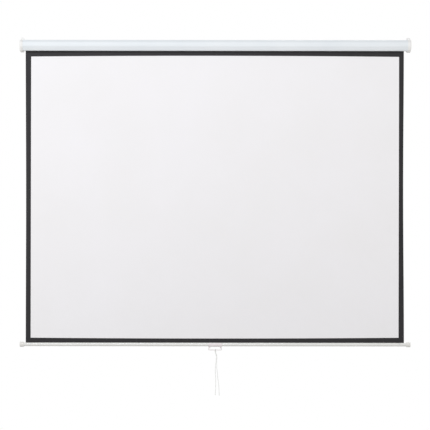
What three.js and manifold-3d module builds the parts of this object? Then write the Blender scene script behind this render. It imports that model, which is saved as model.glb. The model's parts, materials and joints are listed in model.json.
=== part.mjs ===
// Pull down projection screen: a painted steel case holding a spring roller, a white viewing
// surface in a black border, and a round weight bar with a pull handle and cord.
// Millimetres. +X runs along the screen, the viewer stands on the -Y side, +Z is up.
// The origin lies on the wall plane, halfway along the case, level with the roller's axis.
import * as THREE from 'three';
import { mergeVertices } from 'three/addons/utils/BufferGeometryUtils.js';
import Module from 'manifold-3d';

const wasm = await Module();
wasm.setup();

// The sheet: a white face laminated on a black back, whose margin is the border.
const viewingWidth = 2000;
const viewingHeight = 1535;
const sideBorder = 27.3;
const topBorder = 26;
const bottomBorder = 22.7;
const sheetThickness = 0.5;
const faceLayerShare = 0.4;

// The gap between pieces that meet on round faces, and how far a cut runs past what it cuts.
const gap = 0.3;
const overrun = 2;

// The case: flat at the back, top and bottom, with three facets at the front.
const caseHeight = 58;
const caseFrontReach = 27;
const caseRearReach = 29;
const caseWall = 1.5;
const caseCornerRadius = 5;
const caseFlatShare = 0.44;
const frontFacetTopShare = 0.52;
const frontFacetFootShare = -0.2;
const slotWidth = 9;
const slotLipHeight = 4;
const slotLipThickness = 1.5;

// The end caps: a domed end, a spigot in the case, and a wall strip with an eye and a foot.
const capLength = 17;
const capProud = 1;
const capDome = 4;
const capEndWall = 3;
const capEndRoom = 33.7;
const spigotLength = 12;
const spigotWall = 2;
const stripWidth = 22;
const stripThickness = 4.7;
const stripInset = 1.5;
const stripRoundness = 6;
const tabHeight = 15;
const eyeRadius = 3.3;
const footDrop = 5.4;
const footDepth = 30;
const footRoundness = 2;
const stopPadThickness = 1.6;
const stopPadInset = 3;
const capBossRadius = 4.5;
const capScrewSpacingShare = 0.585;
const capScrewHeadRadius = 3.5;
const capScrewHeadHeight = 2.2;
const capScrewShankRadius = 1.75;
const capScrewEndPastPlate = 1.8;

// The steel plates that carry the roller.
const bracketThickness = 1.5;
const bracketWidth = 24;
const bracketHeightShare = 0.76;
const bracketRoundness = 4;
const bracketFromEnd = 9;

// The roller and its two plugs.
const rollerRadius = 17.5;
const rollerWall = 1.5;
const rollerEndRoom = 31;
const spareWraps = 3;
const splineWidth = 3;
const splineDepth = 2.2;
const splineChannelWall = 1.2;
const plugFlangeThickness = 5;
const plugBarrelLength = 30;
const springSeatLength = 15;
const springSeatShare = 0.55;
const bushWall = 2;
const collarRadius = 6;
const shaftRadius = 4;
const shaftPastBracket = 4.5;
const tongueHalfThickness = 2.2;
const idlePinDepth = 22;
const bushFlangeRadius = 8;
const bushFlangeThickness = 1.6;

// The torsion spring and the anchor at its far end.
const springWire = 2.2;
const springPitch = 5;
const springTurns = 18;
const springStepsPerTurn = 8;
const springSides = 6;
const anchorFlangeThickness = 3;
const spindleTail = 6;

// The ratchet wheel on the fixed spindle, and the two pawls that turn with the roller.
const ratchetRadiusShare = 0.6;
const notchDepthShare = 0.19;
const pawlPivotShare = 0.83;
const ratchetThickness = 6;
const pawlThickness = 4;
const pawlCount = 2;
const notchFaceAngle = 150;
const notchFloorAngle = 8;
const notchSlopeAngle = 72;
const pawlTipSetback = 3.3;
const pawlTipClearance = 0.5;
const pawlTipHeight = 3.5;
const pawlEyeRadius = 3.1;
const pawlRootShare = 0.95;
const pawlRootLowerAngle = -66;
const pawlRootUpperAngle = 135;
const pawlPinRadius = 1.5;
const pawlPinHeadRadius = 2.8;
const pawlPinHeadHeight = 1;
const pawlPinShoulderRadius = 2.6;
const pawlPinDepth = 4.4;
const pawlLift = 28;
const ratchetFromPlug = 4;

// The weight bar, its caps and its screws.
const barRadius = 10;
const barWall = 1.2;
const barSlit = 3;
const barCapRadius = 13.75;
const barCapLength = 22.5;
const barCapBoreDepth = 11.5;
const barCapDome = 3;
const hemRodRadius = 3.5;
const hemWrap = 0.5;
const barScrewInset = 25;
const barScrewTilt = 22;
const barScrewHeadRadius = 2.4;
const barScrewHeadHeight = 1.1;
const barScrewShankRadius = 1.4;

// The handle: a sleeve clipped round the bar, two ears, and a loop that swings in them.
const sleeveLength = 73;
const sleeveWall = 2.5;
const sleeveMouth = 90;
const earThickness = 4.5;
const earSetIn = 5.5;
const earRadius = 4.8;
const loopRodRadius = 2.25;
const loopPivotDrop = 3;
const loopHeight = 14;
const loopElbow = 3;
const loopCorner = 4.5;
const loopSteps = 48;
const loopSides = 8;

// The cord: a hitch round the loop, a knot under it, and two tails with a small knot each.
const cordRadius = 1.5;
const cordSetOff = 2;
const cordHitchWidth = 6.6;
const cordKnotRadius = 4;
const cordTipRadius = 2.6;
const cordStepDiameters = 3;
const cordSides = 8;
// Each tail's route, from under the knot down: steps to the right, to the back and up.
const leftTail = [
  [-1.7, 0, 0],
  [2.4, 0.2, -11],
  [4.6, 0.4, -24],
  [4.6, 0.5, -35],
  [3.8, 0.4, -46],
  [1.8, 0.2, -57],
  [-0.1, 0, -71],
  [-0.4, -0.3, -87],
  [-0.7, -0.5, -103],
  [-0.4, -0.6, -119],
  [1.2, -0.4, -133],
  [1.4, -0.1, -149],
  [1.5, 0.2, -166],
  [1.5, 0.3, -182],
  [1.4, 0.4, -198],
  [-0.1, 0.4, -215],
  [-0.7, 0.3, -225],
];
const rightTail = [
  [1.7, 0, 0],
  [6, 0.2, -11],
  [8.2, 0.4, -24],
  [8.2, 0.5, -35],
  [7.4, 0.4, -46],
  [6.4, 0.2, -57],
  [6.9, 0.2, -71],
  [8, 0.4, -87],
  [9.9, 0.7, -103],
  [11.6, 0.9, -119],
  [12.4, 1, -133],
  [14.3, 0.8, -149],
  [16.7, 0.4, -166],
  [18.6, 0, -182],
  [19.1, -0.3, -198],
  [20, -0.5, -215],
  [20.5, -0.6, -226],
];

// How finely round shapes are drawn.
const fineSegments = 28;
const plainSegments = 20;
const smallSegments = 12;
const cornerSegments = 2;
const weldTolerance = 0.0001;
const upright = 90;
const wholeTurn = 360;

// Lengths and places worked out from the values above.
const caseHalfHeight = caseHeight / 2;
const capScrewSpacing = capScrewSpacingShare * caseHeight;
const bracketHeight = bracketHeightShare * caseHeight;
const rollerY = -(stripThickness + gap + caseRearReach);
const rollingRadius = rollerRadius + (spareWraps + 1 / 2) * sheetThickness;
const sheetY = rollerY + rollingRadius;
const sheetWidth = viewingWidth + 2 * sideBorder;
const endX = sheetWidth / 2 + capEndRoom;
const caseEndX = endX - capLength;
const bracketX = endX - bracketFromEnd;
const rollerEndX = endX - rollerEndRoom;
const plugFaceX = rollerEndX + gap + plugFlangeThickness;
const ratchetX = plugFaceX + ratchetFromPlug;
const shaftEndX = bracketX + shaftPastBracket;
const viewTopZ = -(caseHalfHeight + topBorder);
const viewBottomZ = viewTopZ - viewingHeight;
const barZ = viewBottomZ - bottomBorder - barRadius;
const stripX = endX - stripInset - stripWidth / 2;
const footZ = -(caseHalfHeight + footDrop);
const springSeatRadius = springSeatShare * rollerRadius;
const springFlatness = Math.cos(Math.PI / springStepsPerTurn);
const springRadius = (springSeatRadius + gap + springWire / 2) / springFlatness;
const anchorFlangeRadius = springRadius + springWire / 2;
const plugBackX = rollerEndX - plugBarrelLength;
const springStartX = plugBackX - gap - springWire / 2;
const springEndX = springStartX - springTurns * springPitch;
const anchorFaceX = springEndX - springWire / 2 - gap;
const anchorBackX = anchorFaceX - anchorFlangeThickness;
const sleeveRadius = barRadius + gap + sleeveWall;
const ratchetRadius = ratchetRadiusShare * rollerRadius;
const notchRadius = ratchetRadius - notchDepthShare * rollerRadius;
const pawlPivotRadius = pawlPivotShare * rollerRadius;

// Two ways of laying a drawing in the part: its two axes along Y and Z and its depth along X,
// or its two axes along X and Z and its depth towards the viewer.
const alongX = new THREE.Matrix4().makeBasis(
  new THREE.Vector3(0, 1, 0),
  new THREE.Vector3(0, 0, 1),
  new THREE.Vector3(1, 0, 0),
);
const towardsViewer = new THREE.Matrix4().makeBasis(
  new THREE.Vector3(1, 0, 0),
  new THREE.Vector3(0, 0, 1),
  new THREE.Vector3(0, -1, 0),
);

// Turns a closed geometry into a solid that can be cut and joined. A turned shape has folded
// triangles where it meets its axis, which are left out.
function solid(geometry) {
  const bare = geometry.clone();
  bare.deleteAttribute('normal');
  bare.deleteAttribute('uv');
  const merged = mergeVertices(bare, weldTolerance);
  const corners = merged.index.array;
  const triangles = [];
  for (let i = 0; i < corners.length; i += 3) {
    const [a, b, c] = corners.slice(i, i + 3);
    if (a !== b && b !== c && c !== a) triangles.push(a, b, c);
  }
  return new wasm.Manifold(
    new wasm.Mesh({
      numProp: 3,
      vertProperties: merged.attributes.position.array,
      triVerts: new Uint32Array(triangles),
    }),
  );
}

function geometryOf(shape) {
  const mesh = shape.getMesh();
  const geometry = new THREE.BufferGeometry();
  geometry.setAttribute('position', new THREE.BufferAttribute(mesh.vertProperties, mesh.numProp));
  geometry.setIndex(new THREE.BufferAttribute(mesh.triVerts, 1));
  geometry.computeVertexNormals();
  return geometry;
}

// A box between two places on each axis.
function block([x0, x1], [y0, y1], [z0, z1]) {
  const box = new THREE.BoxGeometry(x1 - x0, y1 - y0, z1 - z0);
  return box.translate((x0 + x1) / 2, (y0 + y1) / 2, (z0 + z1) / 2);
}

// The stretch between two distances from mid-length, on the left (side -1) or the right (+1).
function stretch(side, near, far) {
  return side < 0 ? [-far, -near] : [near, far];
}

// A drawing in (y, z) carried along X from one place to the next.
function carry(shape, [start, end], options = {}) {
  const geometry = new THREE.ExtrudeGeometry(shape, {
    depth: end - start,
    bevelEnabled: false,
    curveSegments: cornerSegments,
    ...options,
  });
  return geometry.applyMatrix4(alongX).translate(start, 0, 0);
}

// A drawing in (x, z) made thick from its rear face at y towards the viewer.
function thicken(shape, y, thickness, curveSegments = plainSegments) {
  const geometry = new THREE.ExtrudeGeometry(shape, {
    depth: thickness,
    bevelEnabled: false,
    curveSegments,
  });
  return geometry.applyMatrix4(towardsViewer).translate(0, y, 0);
}

// A turned piece about an axis along X. Its profile is a list of [x, radius], from the axis
// round to the axis again, or closed on itself for a ring.
function turn(profile, segments = plainSegments) {
  const points = profile.map(([x, radius]) => new THREE.Vector2(radius, x));
  let area = 0;
  points.forEach((point, i) => {
    area += point.cross(points[(i + 1) % points.length]);
  });
  if (area < 0) points.reverse();
  return new THREE.LatheGeometry(points, segments).rotateZ(-Math.PI / 2);
}

function cylinder([start, end], radius, segments = plainSegments) {
  return turn([[start, 0], [start, radius], [end, radius], [end, 0]], segments);
}

function tube([start, end], outer, inner, segments = plainSegments) {
  const profile = [[start, inner], [start, outer], [end, outer], [end, inner], [start, inner]];
  return turn(profile, segments);
}

function at(geometry, y, z) {
  return geometry.translate(0, y, z);
}

function polar(radius, degrees) {
  const angle = THREE.MathUtils.degToRad(degrees);
  return new THREE.Vector2(radius * Math.cos(angle), radius * Math.sin(angle));
}

// Moves each edge of a polygon that runs anticlockwise outwards by a distance.
function offset(corners, distance) {
  const edges = corners.map((corner, i) => {
    const along = corners[(i + 1) % corners.length].clone().sub(corner).normalize();
    const outward = new THREE.Vector2(along.y, -along.x).multiplyScalar(distance);
    return { along, start: corner.clone().add(outward) };
  });
  return edges.map((edge, i) => {
    const before = edges[(i + edges.length - 1) % edges.length];
    const between = edge.start.clone().sub(before.start);
    const reach = between.cross(edge.along) / before.along.cross(edge.along);
    return before.start.clone().addScaledVector(before.along, reach);
  });
}

// Draws a polygon with rounded corners on a Shape or a Path.
function rounded(path, corners, radius) {
  corners.forEach((corner, i) => {
    const before = corners[(i + corners.length - 1) % corners.length];
    const after = corners[(i + 1) % corners.length];
    const arrive = before.clone().sub(corner).setLength(radius).add(corner);
    const leave = after.clone().sub(corner).setLength(radius).add(corner);
    if (i === 0) path.moveTo(arrive.x, arrive.y);
    else path.lineTo(arrive.x, arrive.y);
    path.quadraticCurveTo(corner.x, corner.y, leave.x, leave.y);
  });
  path.closePath();
  return path;
}

function rectangle([x0, x1], [y0, y1]) {
  return [[x0, y0], [x1, y0], [x1, y1], [x0, y1]].map(([x, y]) => new THREE.Vector2(x, y));
}

// Materials
function finish(color, roughness, metalness = 0) {
  return new THREE.MeshStandardMaterial({ color, roughness, metalness, flatShading: true });
}

const paintedSteel = () => finish(0xecf1f5, 0.45, 0.1);
const whitePlastic = () => finish(0xefeeea, 0.5);
const handlePlastic = () => finish(0xf3ebed, 0.5);
const greyRubber = () => finish(0xc9c9c7, 0.9);
const whiteSheet = () => finish(0xf4f2f6, 0.95);
const blackSheet = () => finish(0x3e3c3f, 0.85);
const paintedBar = () => finish(0xf6fafb, 0.4, 0.1);
const zincSteel = () => finish(0xb9bcc0, 0.35, 1);
const darkSteel = () => finish(0x6a6d70, 0.4, 1);
const greyPlastic = () => finish(0x8c8f92, 0.6);
const naturalNylon = () => finish(0xe4e0d4, 0.55);
const whiteCord = () => finish(0xf2f2f0, 0.8);

const screen = new THREE.Group();

function add(group, name, geometry, material) {
  const mesh = new THREE.Mesh(geometry, material);
  mesh.name = name;
  group.add(mesh);
  return mesh;
}

const sides = [
  { side: -1, word: 'left' },
  { side: 1, word: 'right' },
];

// The case, its end caps and the plates behind them

// The case's outline in (y, z), anticlockwise from the lower rear corner.
function caseOutline() {
  const rear = rollerY + caseRearReach;
  const front = rollerY - caseFrontReach;
  const flatFront = rollerY - caseFlatShare * caseFrontReach;
  const facetTop = frontFacetTopShare * caseHalfHeight;
  const facetFoot = frontFacetFootShare * caseHalfHeight;
  return [
    new THREE.Vector2(rear, -caseHalfHeight),
    new THREE.Vector2(rear, caseHalfHeight),
    new THREE.Vector2(flatFront, caseHalfHeight),
    new THREE.Vector2(front, facetTop),
    new THREE.Vector2(front, facetFoot),
    new THREE.Vector2(flatFront, -caseHalfHeight),
  ];
}

// The outline moved out by a distance, with its corners rounded to suit.
function caseShape(distance) {
  const radius = Math.max(caseCornerRadius + distance, caseWall);
  return rounded(new THREE.Shape(), offset(caseOutline(), distance), radius);
}

// A rolled channel, open along the slot that the sheet hangs through, with its lips turned in.
function caseHousing() {
  const length = [-caseEndX, caseEndX];
  const slot = [sheetY - slotWidth / 2, sheetY + slotWidth / 2];
  const lipZ = [-caseHalfHeight + caseWall / 2, -caseHalfHeight + caseWall + slotLipHeight];
  const frontLip = block(length, [slot[0] - slotLipThickness, slot[0]], lipZ);
  const rearLip = block(length, [slot[1], slot[1] + slotLipThickness], lipZ);
  const cut = block(
    [-caseEndX - overrun, caseEndX + overrun],
    slot,
    [-caseHalfHeight - overrun, -caseHalfHeight + caseWall + overrun],
  );
  const hollow = carry(caseShape(-caseWall), [-caseEndX - overrun, caseEndX + overrun]);
  return geometryOf(
    solid(carry(caseShape(0), length))
      .subtract(solid(hollow))
      .add(solid(frontLip))
      .add(solid(rearLip))
      .subtract(solid(cut)),
  );
}

// The strip that lies on the wall, drawn in (x, z), with rounded upper corners round the eye.
function wallStrip() {
  const half = stripWidth / 2;
  const top = caseHalfHeight + tabHeight;
  const shape = new THREE.Shape();
  shape.moveTo(-half, footZ);
  shape.lineTo(half, footZ);
  shape.lineTo(half, top - stripRoundness);
  shape.absarc(half - stripRoundness, top - stripRoundness, stripRoundness, 0, Math.PI / 2, false);
  shape.absarc(
    -half + stripRoundness,
    top - stripRoundness,
    stripRoundness,
    Math.PI / 2,
    Math.PI,
    false,
  );
  shape.closePath();
  const eye = new THREE.Path();
  eye.absarc(0, caseHalfHeight + tabHeight / 2, eyeRadius, 0, 2 * Math.PI, true);
  shape.holes.push(eye);
  return shape;
}

// The foot under the case, drawn in (x, y) and thick along Z: rounded at its front corners.
function foot(side) {
  const half = stripWidth / 2;
  const corners = rectangle([-half, half], [-footDepth, -stripThickness / 2]);
  const shape = rounded(new THREE.Shape(), corners, footRoundness);
  const geometry = new THREE.ExtrudeGeometry(shape, {
    depth: footDrop - gap,
    bevelEnabled: false,
    curveSegments: cornerSegments,
  });
  return geometry.translate(side * stripX, 0, footZ);
}

function endCap(side) {
  const domeRun = stretch(side, endX - 2 * capLength + capDome, endX - capDome);
  const dome = carry(caseShape(capProud), domeRun, {
    bevelEnabled: true,
    bevelThickness: capDome,
    bevelSize: capDome,
    bevelOffset: -capDome,
    bevelSegments: cornerSegments,
  });
  const overTheCase = block(
    stretch(side, endX - 2 * capLength - overrun, caseEndX),
    [rollerY - caseHeight, rollerY + caseHeight],
    [-caseHeight, caseHeight],
  );
  const inTheCase = carry(
    caseShape(-caseWall - gap),
    stretch(side, caseEndX - spigotLength, caseEndX + overrun),
  );
  const cavity = carry(
    caseShape(-caseWall - gap - spigotWall),
    stretch(side, caseEndX - spigotLength - overrun, endX - capEndWall),
  );
  const slotHalf = slotWidth / 2 + slotLipThickness + gap;
  const slotRelief = block(
    stretch(side, caseEndX - spigotLength - overrun, caseEndX),
    [sheetY - slotHalf, sheetY + slotHalf],
    [-caseHalfHeight, -caseHalfHeight + caseWall + slotLipHeight + gap],
  );
  let cap = solid(dome)
    .subtract(solid(overTheCase))
    .add(solid(inTheCase))
    .subtract(solid(cavity))
    .subtract(solid(slotRelief));
  for (const z of [-capScrewSpacing / 2, capScrewSpacing / 2]) {
    const boss = stretch(side, bracketX + gap, endX - capEndWall / 2);
    cap = cap.add(solid(at(cylinder(boss, capBossRadius, smallSegments), rollerY, z)));
    const hole = stretch(side, bracketX - overrun, endX + overrun);
    cap = cap.subtract(
      solid(at(cylinder(hole, capScrewShankRadius + gap, smallSegments), rollerY, z)),
    );
    const recess = stretch(side, endX - capScrewHeadHeight - gap, endX + overrun);
    cap = cap.subtract(
      solid(at(cylinder(recess, capScrewHeadRadius + gap, smallSegments), rollerY, z)),
    );
  }
  const strip = thicken(wallStrip(), 0, stripThickness).translate(side * stripX, 0, 0);
  return geometryOf(cap.add(solid(strip)).add(solid(foot(side))));
}

// A cross recess, as a pair of thin boxes, cut in a screw's head.
function crossRecess(face, side, radius) {
  const width = radius / 4;
  const reach = radius / 2;
  const depth = stretch(side, face - width, face + width);
  return [
    block(depth, [-width, width], [-reach, reach]),
    block(depth, [-reach, reach], [-width, width]),
  ];
}

function capScrew(side) {
  const headSeat = endX - capScrewHeadHeight;
  const tip = bracketX - bracketThickness - capScrewEndPastPlate;
  let screw = solid(
    turn(
      [
        [side * tip, 0],
        [side * tip, capScrewShankRadius],
        [side * headSeat, capScrewShankRadius],
        [side * headSeat, capScrewHeadRadius],
        [side * (endX - capScrewHeadHeight / 2), capScrewHeadRadius],
        [side * endX, capScrewHeadRadius - capScrewHeadHeight / 2],
        [side * endX, 0],
      ],
      smallSegments,
    ),
  );
  for (const cut of crossRecess(endX, side, capScrewHeadRadius)) {
    screw = screw.subtract(solid(cut));
  }
  return geometryOf(screw);
}

// The plate that carries one end of the roller, with two screw holes and the hole given.
function bracket(side, centreCut) {
  const half = bracketHeight / 2;
  const shape = rounded(
    new THREE.Shape(),
    rectangle([-bracketWidth / 2, bracketWidth / 2], [-half, half]),
    bracketRoundness,
  );
  let plate = solid(carry(shape, stretch(side, bracketX - bracketThickness, bracketX)));
  const through = stretch(side, bracketX - bracketThickness - overrun, bracketX + overrun);
  for (const z of [-capScrewSpacing / 2, capScrewSpacing / 2]) {
    const hole = at(cylinder(through, capScrewShankRadius + gap, smallSegments), 0, z);
    plate = plate.subtract(solid(hole));
  }
  return geometryOf(plate.subtract(solid(centreCut(through))));
}

const caseGroup = new THREE.Group();
screen.add(caseGroup);
add(caseGroup, 'case_housing', caseHousing(), paintedSteel());
const stopPadSize = stripWidth / 2 - stopPadInset;
for (const { side, word } of sides) {
  add(caseGroup, `end_cap_${word}`, endCap(side), whitePlastic());
  const pad = block(
    [side * stripX - stopPadSize, side * stripX + stopPadSize],
    [-footDepth + stopPadInset, -stopPadInset],
    [footZ - stopPadThickness, footZ],
  );
  add(caseGroup, `stop_pad_${word}`, pad, greyRubber());
}

// Everything on the roller's axis is drawn about that axis and set at its depth.
const axisGroup = new THREE.Group();
axisGroup.position.y = rollerY;
screen.add(axisGroup);

for (const { side, word } of sides) {
  ['lower', 'upper'].forEach((level, i) => {
    const screw = add(axisGroup, `cap_screw_${word}_${level}`, capScrew(side), zincSteel());
    screw.position.z = (i - 1 / 2) * capScrewSpacing;
  });
}

const tongueHole = (through) =>
  block(
    through,
    [-tongueHalfThickness - gap, tongueHalfThickness + gap],
    [-shaftRadius - gap, shaftRadius + gap],
  );
const bushHole = (through) => cylinder(through, shaftRadius + bushWall + 2 * gap);
add(axisGroup, 'roller_bracket_left', bracket(-1, tongueHole), zincSteel());
add(axisGroup, 'roller_bracket_right', bracket(1, bushHole), zincSteel());

// The flanged bush that the idle pin turns in.
function idleBush() {
  const bore = shaftRadius + gap;
  const outer = bore + bushWall;
  const inside = bracketX - bracketThickness - gap;
  return turn([
    [inside - bushFlangeThickness, bore],
    [inside - bushFlangeThickness, bushFlangeRadius],
    [inside, bushFlangeRadius],
    [inside, outer],
    [bracketX, outer],
    [bracketX, bore],
    [inside - bushFlangeThickness, bore],
  ]);
}
add(axisGroup, 'idle_bush', idleBush(), naturalNylon());

// Spring and ratchet, on the spindle that stays still

const spindleEndX = anchorBackX - spindleTail;

function spindle() {
  const collarEnd = bracketX - bracketThickness - gap;
  const collarStart = ratchetX + ratchetThickness + gap;
  const rod = cylinder([-shaftEndX, -spindleEndX], shaftRadius);
  const collar = cylinder([-collarEnd, -collarStart], collarRadius);
  let shape = solid(rod).add(solid(collar));
  const endCut = [-shaftEndX - overrun, -collarEnd];
  for (const side of [-1, 1]) {
    const flat = side * tongueHalfThickness;
    const away = side * (shaftRadius + overrun);
    const cut = block(
      endCut,
      [Math.min(flat, away), Math.max(flat, away)],
      [-shaftRadius - overrun, shaftRadius + overrun],
    );
    shape = shape.subtract(solid(cut));
  }
  return geometryOf(shape);
}

// The wheel in (y, z): round, with a notch for each pawl. A notch has one steep face that
// the pawl's tip pushes on and a long slope that lets it ride out the other way.
function ratchetWheel() {
  const wheel = cylinder([-ratchetX - ratchetThickness, -ratchetX], ratchetRadius, fineSegments);
  const bore = [-ratchetX - ratchetThickness - overrun, -ratchetX + overrun];
  let shape = solid(wheel).subtract(solid(cylinder(bore, shaftRadius + gap)));
  for (let i = 0; i < pawlCount; i += 1) {
    const turnBy = (i * wholeTurn) / pawlCount;
    const face = notchFaceAngle + turnBy;
    const outside = ratchetRadius + overrun;
    const slopeEnd = face - notchFloorAngle - notchSlopeAngle;
    const notch = new THREE.Shape([
      polar(notchRadius, face),
      polar(outside, face),
      polar(outside, (face + slopeEnd) / 2),
      polar(outside, slopeEnd),
      polar(ratchetRadius, slopeEnd),
      polar(notchRadius, face - notchFloorAngle),
    ]);
    shape = shape.subtract(solid(carry(notch, bore)));
  }
  return geometryOf(shape);
}

// A helix about the axis, as points for a tube.
function helix(radius, pitch, turns, steps) {
  const points = [];
  for (let i = 0; i <= turns * steps; i += 1) {
    const angle = (2 * Math.PI * i) / steps;
    const x = (pitch * i) / steps;
    points.push(new THREE.Vector3(x, radius * Math.cos(angle), radius * Math.sin(angle)));
  }
  return points;
}

// A round section carried along a curve.
function sweep(curve, radius, steps, sectionSides) {
  curve.arcLengthDivisions = sectionSides * steps;
  const section = new THREE.Shape();
  for (let i = 0; i < sectionSides; i += 1) {
    const point = polar(radius, (i * wholeTurn) / sectionSides);
    if (i === 0) section.moveTo(point.x, point.y);
    else section.lineTo(point.x, point.y);
  }
  section.closePath();
  return new THREE.ExtrudeGeometry(section, {
    steps,
    bevelEnabled: false,
    extrudePath: curve,
  });
}

function torsionSpring() {
  const coil = new THREE.CatmullRomCurve3(
    helix(springRadius, springPitch, springTurns, springStepsPerTurn),
  );
  const steps = springTurns * springStepsPerTurn;
  return sweep(coil, springWire / 2, steps, springSides).translate(-springStartX, 0, 0);
}

// The anchor's drum takes the last coils of the spring, and its flange stops them.
function springAnchor() {
  const bore = shaftRadius + gap;
  const drumEnd = anchorFaceX + springSeatLength;
  return turn([
    [-drumEnd, bore],
    [-drumEnd, springSeatRadius],
    [-anchorFaceX, springSeatRadius],
    [-anchorFaceX, anchorFlangeRadius],
    [-anchorBackX, anchorFlangeRadius],
    [-anchorBackX, bore],
    [-drumEnd, bore],
  ]);
}

add(axisGroup, 'spindle', spindle(), zincSteel());
add(axisGroup, 'ratchet_wheel', ratchetWheel(), darkSteel());
add(axisGroup, 'torsion_spring', torsionSpring(), darkSteel());
add(axisGroup, 'spring_anchor', springAnchor(), greyPlastic());

// Roller

const rollerGroup = new THREE.Group();
axisGroup.add(rollerGroup);

const splineInner = rollerRadius - splineDepth;
const splineHalf = splineWidth / 2;
const splineEndX = plugBackX - splineWidth;

// The tube, with a folded channel inside its wall for the spline that grips the sheet.
function rollerTube() {
  const length = [-rollerEndX, rollerEndX];
  const past = [-rollerEndX - overrun, rollerEndX + overrun];
  const channel = block(
    [-splineEndX - splineChannelWall, splineEndX + splineChannelWall],
    [-splineHalf - splineChannelWall, splineHalf + splineChannelWall],
    [splineInner - splineChannelWall, rollerRadius - rollerWall / 2],
  );
  const groove = block(
    [-splineEndX, splineEndX],
    [-splineHalf, splineHalf],
    [splineInner, rollerRadius + overrun],
  );
  return geometryOf(
    solid(cylinder(length, rollerRadius, fineSegments))
      .subtract(solid(cylinder(past, rollerRadius - rollerWall, fineSegments)))
      .add(solid(channel))
      .subtract(solid(groove)),
  );
}

function fabricSpline() {
  return block(
    [-splineEndX + gap, splineEndX - gap],
    [-splineHalf + gap, splineHalf - gap],
    [splineInner + gap, rollerRadius - gap],
  );
}

// The turns of sheet that never leave the roller.
function woundSheet() {
  const half = sheetWidth / 2;
  const outer = rollerRadius + spareWraps * sheetThickness - gap;
  return tube([-half, half], outer, rollerRadius + gap, fineSegments);
}

const plugRadius = rollerRadius - rollerWall - gap;

// The plug that the spring turns: a flange, a barrel in the tube and a drum for the spring.
function springPlug() {
  const bushBore = shaftRadius + bushWall + 2 * gap;
  const shaftBore = shaftRadius + 2 * gap;
  const seatEnd = plugBackX - springSeatLength;
  let plug = solid(
    turn(
      [
        [-plugFaceX, bushBore],
        [-plugFaceX, rollerRadius - gap],
        [-rollerEndX - gap, rollerRadius - gap],
        [-rollerEndX - gap, plugRadius],
        [-plugBackX, plugRadius],
        [-plugBackX, springSeatRadius],
        [-seatEnd, springSeatRadius],
        [-seatEnd, shaftBore],
        [-plugBackX, shaftBore],
        [-plugBackX, bushBore],
        [-plugFaceX, bushBore],
      ],
      fineSegments,
    ),
  );
  for (let i = 0; i < pawlCount; i += 1) {
    const place = polar(pawlPivotRadius, upright + (i * wholeTurn) / pawlCount);
    const depth = [-plugFaceX - overrun, -plugFaceX + pawlPinDepth + gap];
    const hole = at(cylinder(depth, pawlPinRadius + gap, smallSegments), place.x, place.y);
    plug = plug.subtract(solid(hole));
  }
  return geometryOf(plug);
}

function plugBush() {
  const inner = shaftRadius + gap;
  return tube([-plugFaceX, -plugBackX - gap], inner + bushWall, inner);
}

// The plug at the other end, bored for the pin that turns with it.
function idlePlug() {
  return turn(
    [
      [plugBackX, 0],
      [plugBackX, plugRadius],
      [rollerEndX + gap, plugRadius],
      [rollerEndX + gap, rollerRadius - gap],
      [plugFaceX, rollerRadius - gap],
      [plugFaceX, shaftRadius + gap],
      [plugFaceX - idlePinDepth - gap, shaftRadius + gap],
      [plugFaceX - idlePinDepth - gap, 0],
    ],
    fineSegments,
  );
}

function idlePin() {
  const collarStart = plugFaceX + gap;
  const collarEnd = bracketX - bracketThickness - bushFlangeThickness - 2 * gap;
  return turn([
    [plugFaceX - idlePinDepth, 0],
    [plugFaceX - idlePinDepth, shaftRadius],
    [collarStart, shaftRadius],
    [collarStart, collarRadius],
    [collarEnd, collarRadius],
    [collarEnd, shaftRadius],
    [shaftEndX, shaftRadius],
    [shaftEndX, 0],
  ]);
}

add(rollerGroup, 'roller_tube', rollerTube(), zincSteel());
add(rollerGroup, 'fabric_spline', fabricSpline(), greyPlastic());
add(rollerGroup, 'wound_sheet', woundSheet(), blackSheet());
add(rollerGroup, 'spring_plug', springPlug(), greyPlastic());
add(rollerGroup, 'plug_bush', plugBush(), naturalNylon());
add(rollerGroup, 'idle_plug', idlePlug(), greyPlastic());
add(rollerGroup, 'idle_pin', idlePin(), zincSteel());

// Pawls, drawn with the tip in the notch about the roller's axis, then lifted about the pin

const pawlX = ratchetX + (ratchetThickness - pawlThickness) / 2;

function pawl() {
  const pivot = polar(pawlPivotRadius, upright);
  const tipAngle = notchFaceAngle - pawlTipSetback;
  const reach = [-pawlX - pawlThickness, -pawlX];
  const lever = new THREE.Shape([
    pivot.clone().add(polar(pawlRootShare * pawlEyeRadius, pawlRootLowerAngle)),
    pivot.clone().add(polar(pawlRootShare * pawlEyeRadius, pawlRootUpperAngle)),
    polar(notchRadius + pawlTipClearance + pawlTipHeight, tipAngle),
    polar(notchRadius + pawlTipClearance, tipAngle),
  ]);
  const eye = at(cylinder(reach, pawlEyeRadius, smallSegments), pivot.x, pivot.y);
  const past = [reach[0] - overrun, reach[1] + overrun];
  const hole = at(cylinder(past, pawlPinRadius + gap, smallSegments), pivot.x, pivot.y);
  const shape = solid(carry(lever, reach)).add(solid(eye)).subtract(solid(hole));
  const lift = THREE.MathUtils.degToRad(-pawlLift);
  return at(at(geometryOf(shape), -pivot.x, -pivot.y).rotateX(lift), pivot.x, pivot.y);
}

// The shouldered pin that a pawl swings on.
function pawlPin() {
  const inner = plugFaceX - pawlPinDepth;
  const shoulder = [plugFaceX + gap, pawlX - gap];
  const head = pawlX + pawlThickness + gap;
  return turn(
    [
      [-inner, 0],
      [-inner, pawlPinRadius],
      [-shoulder[0], pawlPinRadius],
      [-shoulder[0], pawlPinShoulderRadius],
      [-shoulder[1], pawlPinShoulderRadius],
      [-shoulder[1], pawlPinRadius],
      [-head, pawlPinRadius],
      [-head, pawlPinHeadRadius],
      [-head - pawlPinHeadHeight, pawlPinHeadRadius],
      [-head - pawlPinHeadHeight, 0],
    ],
    smallSegments,
  );
}

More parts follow.
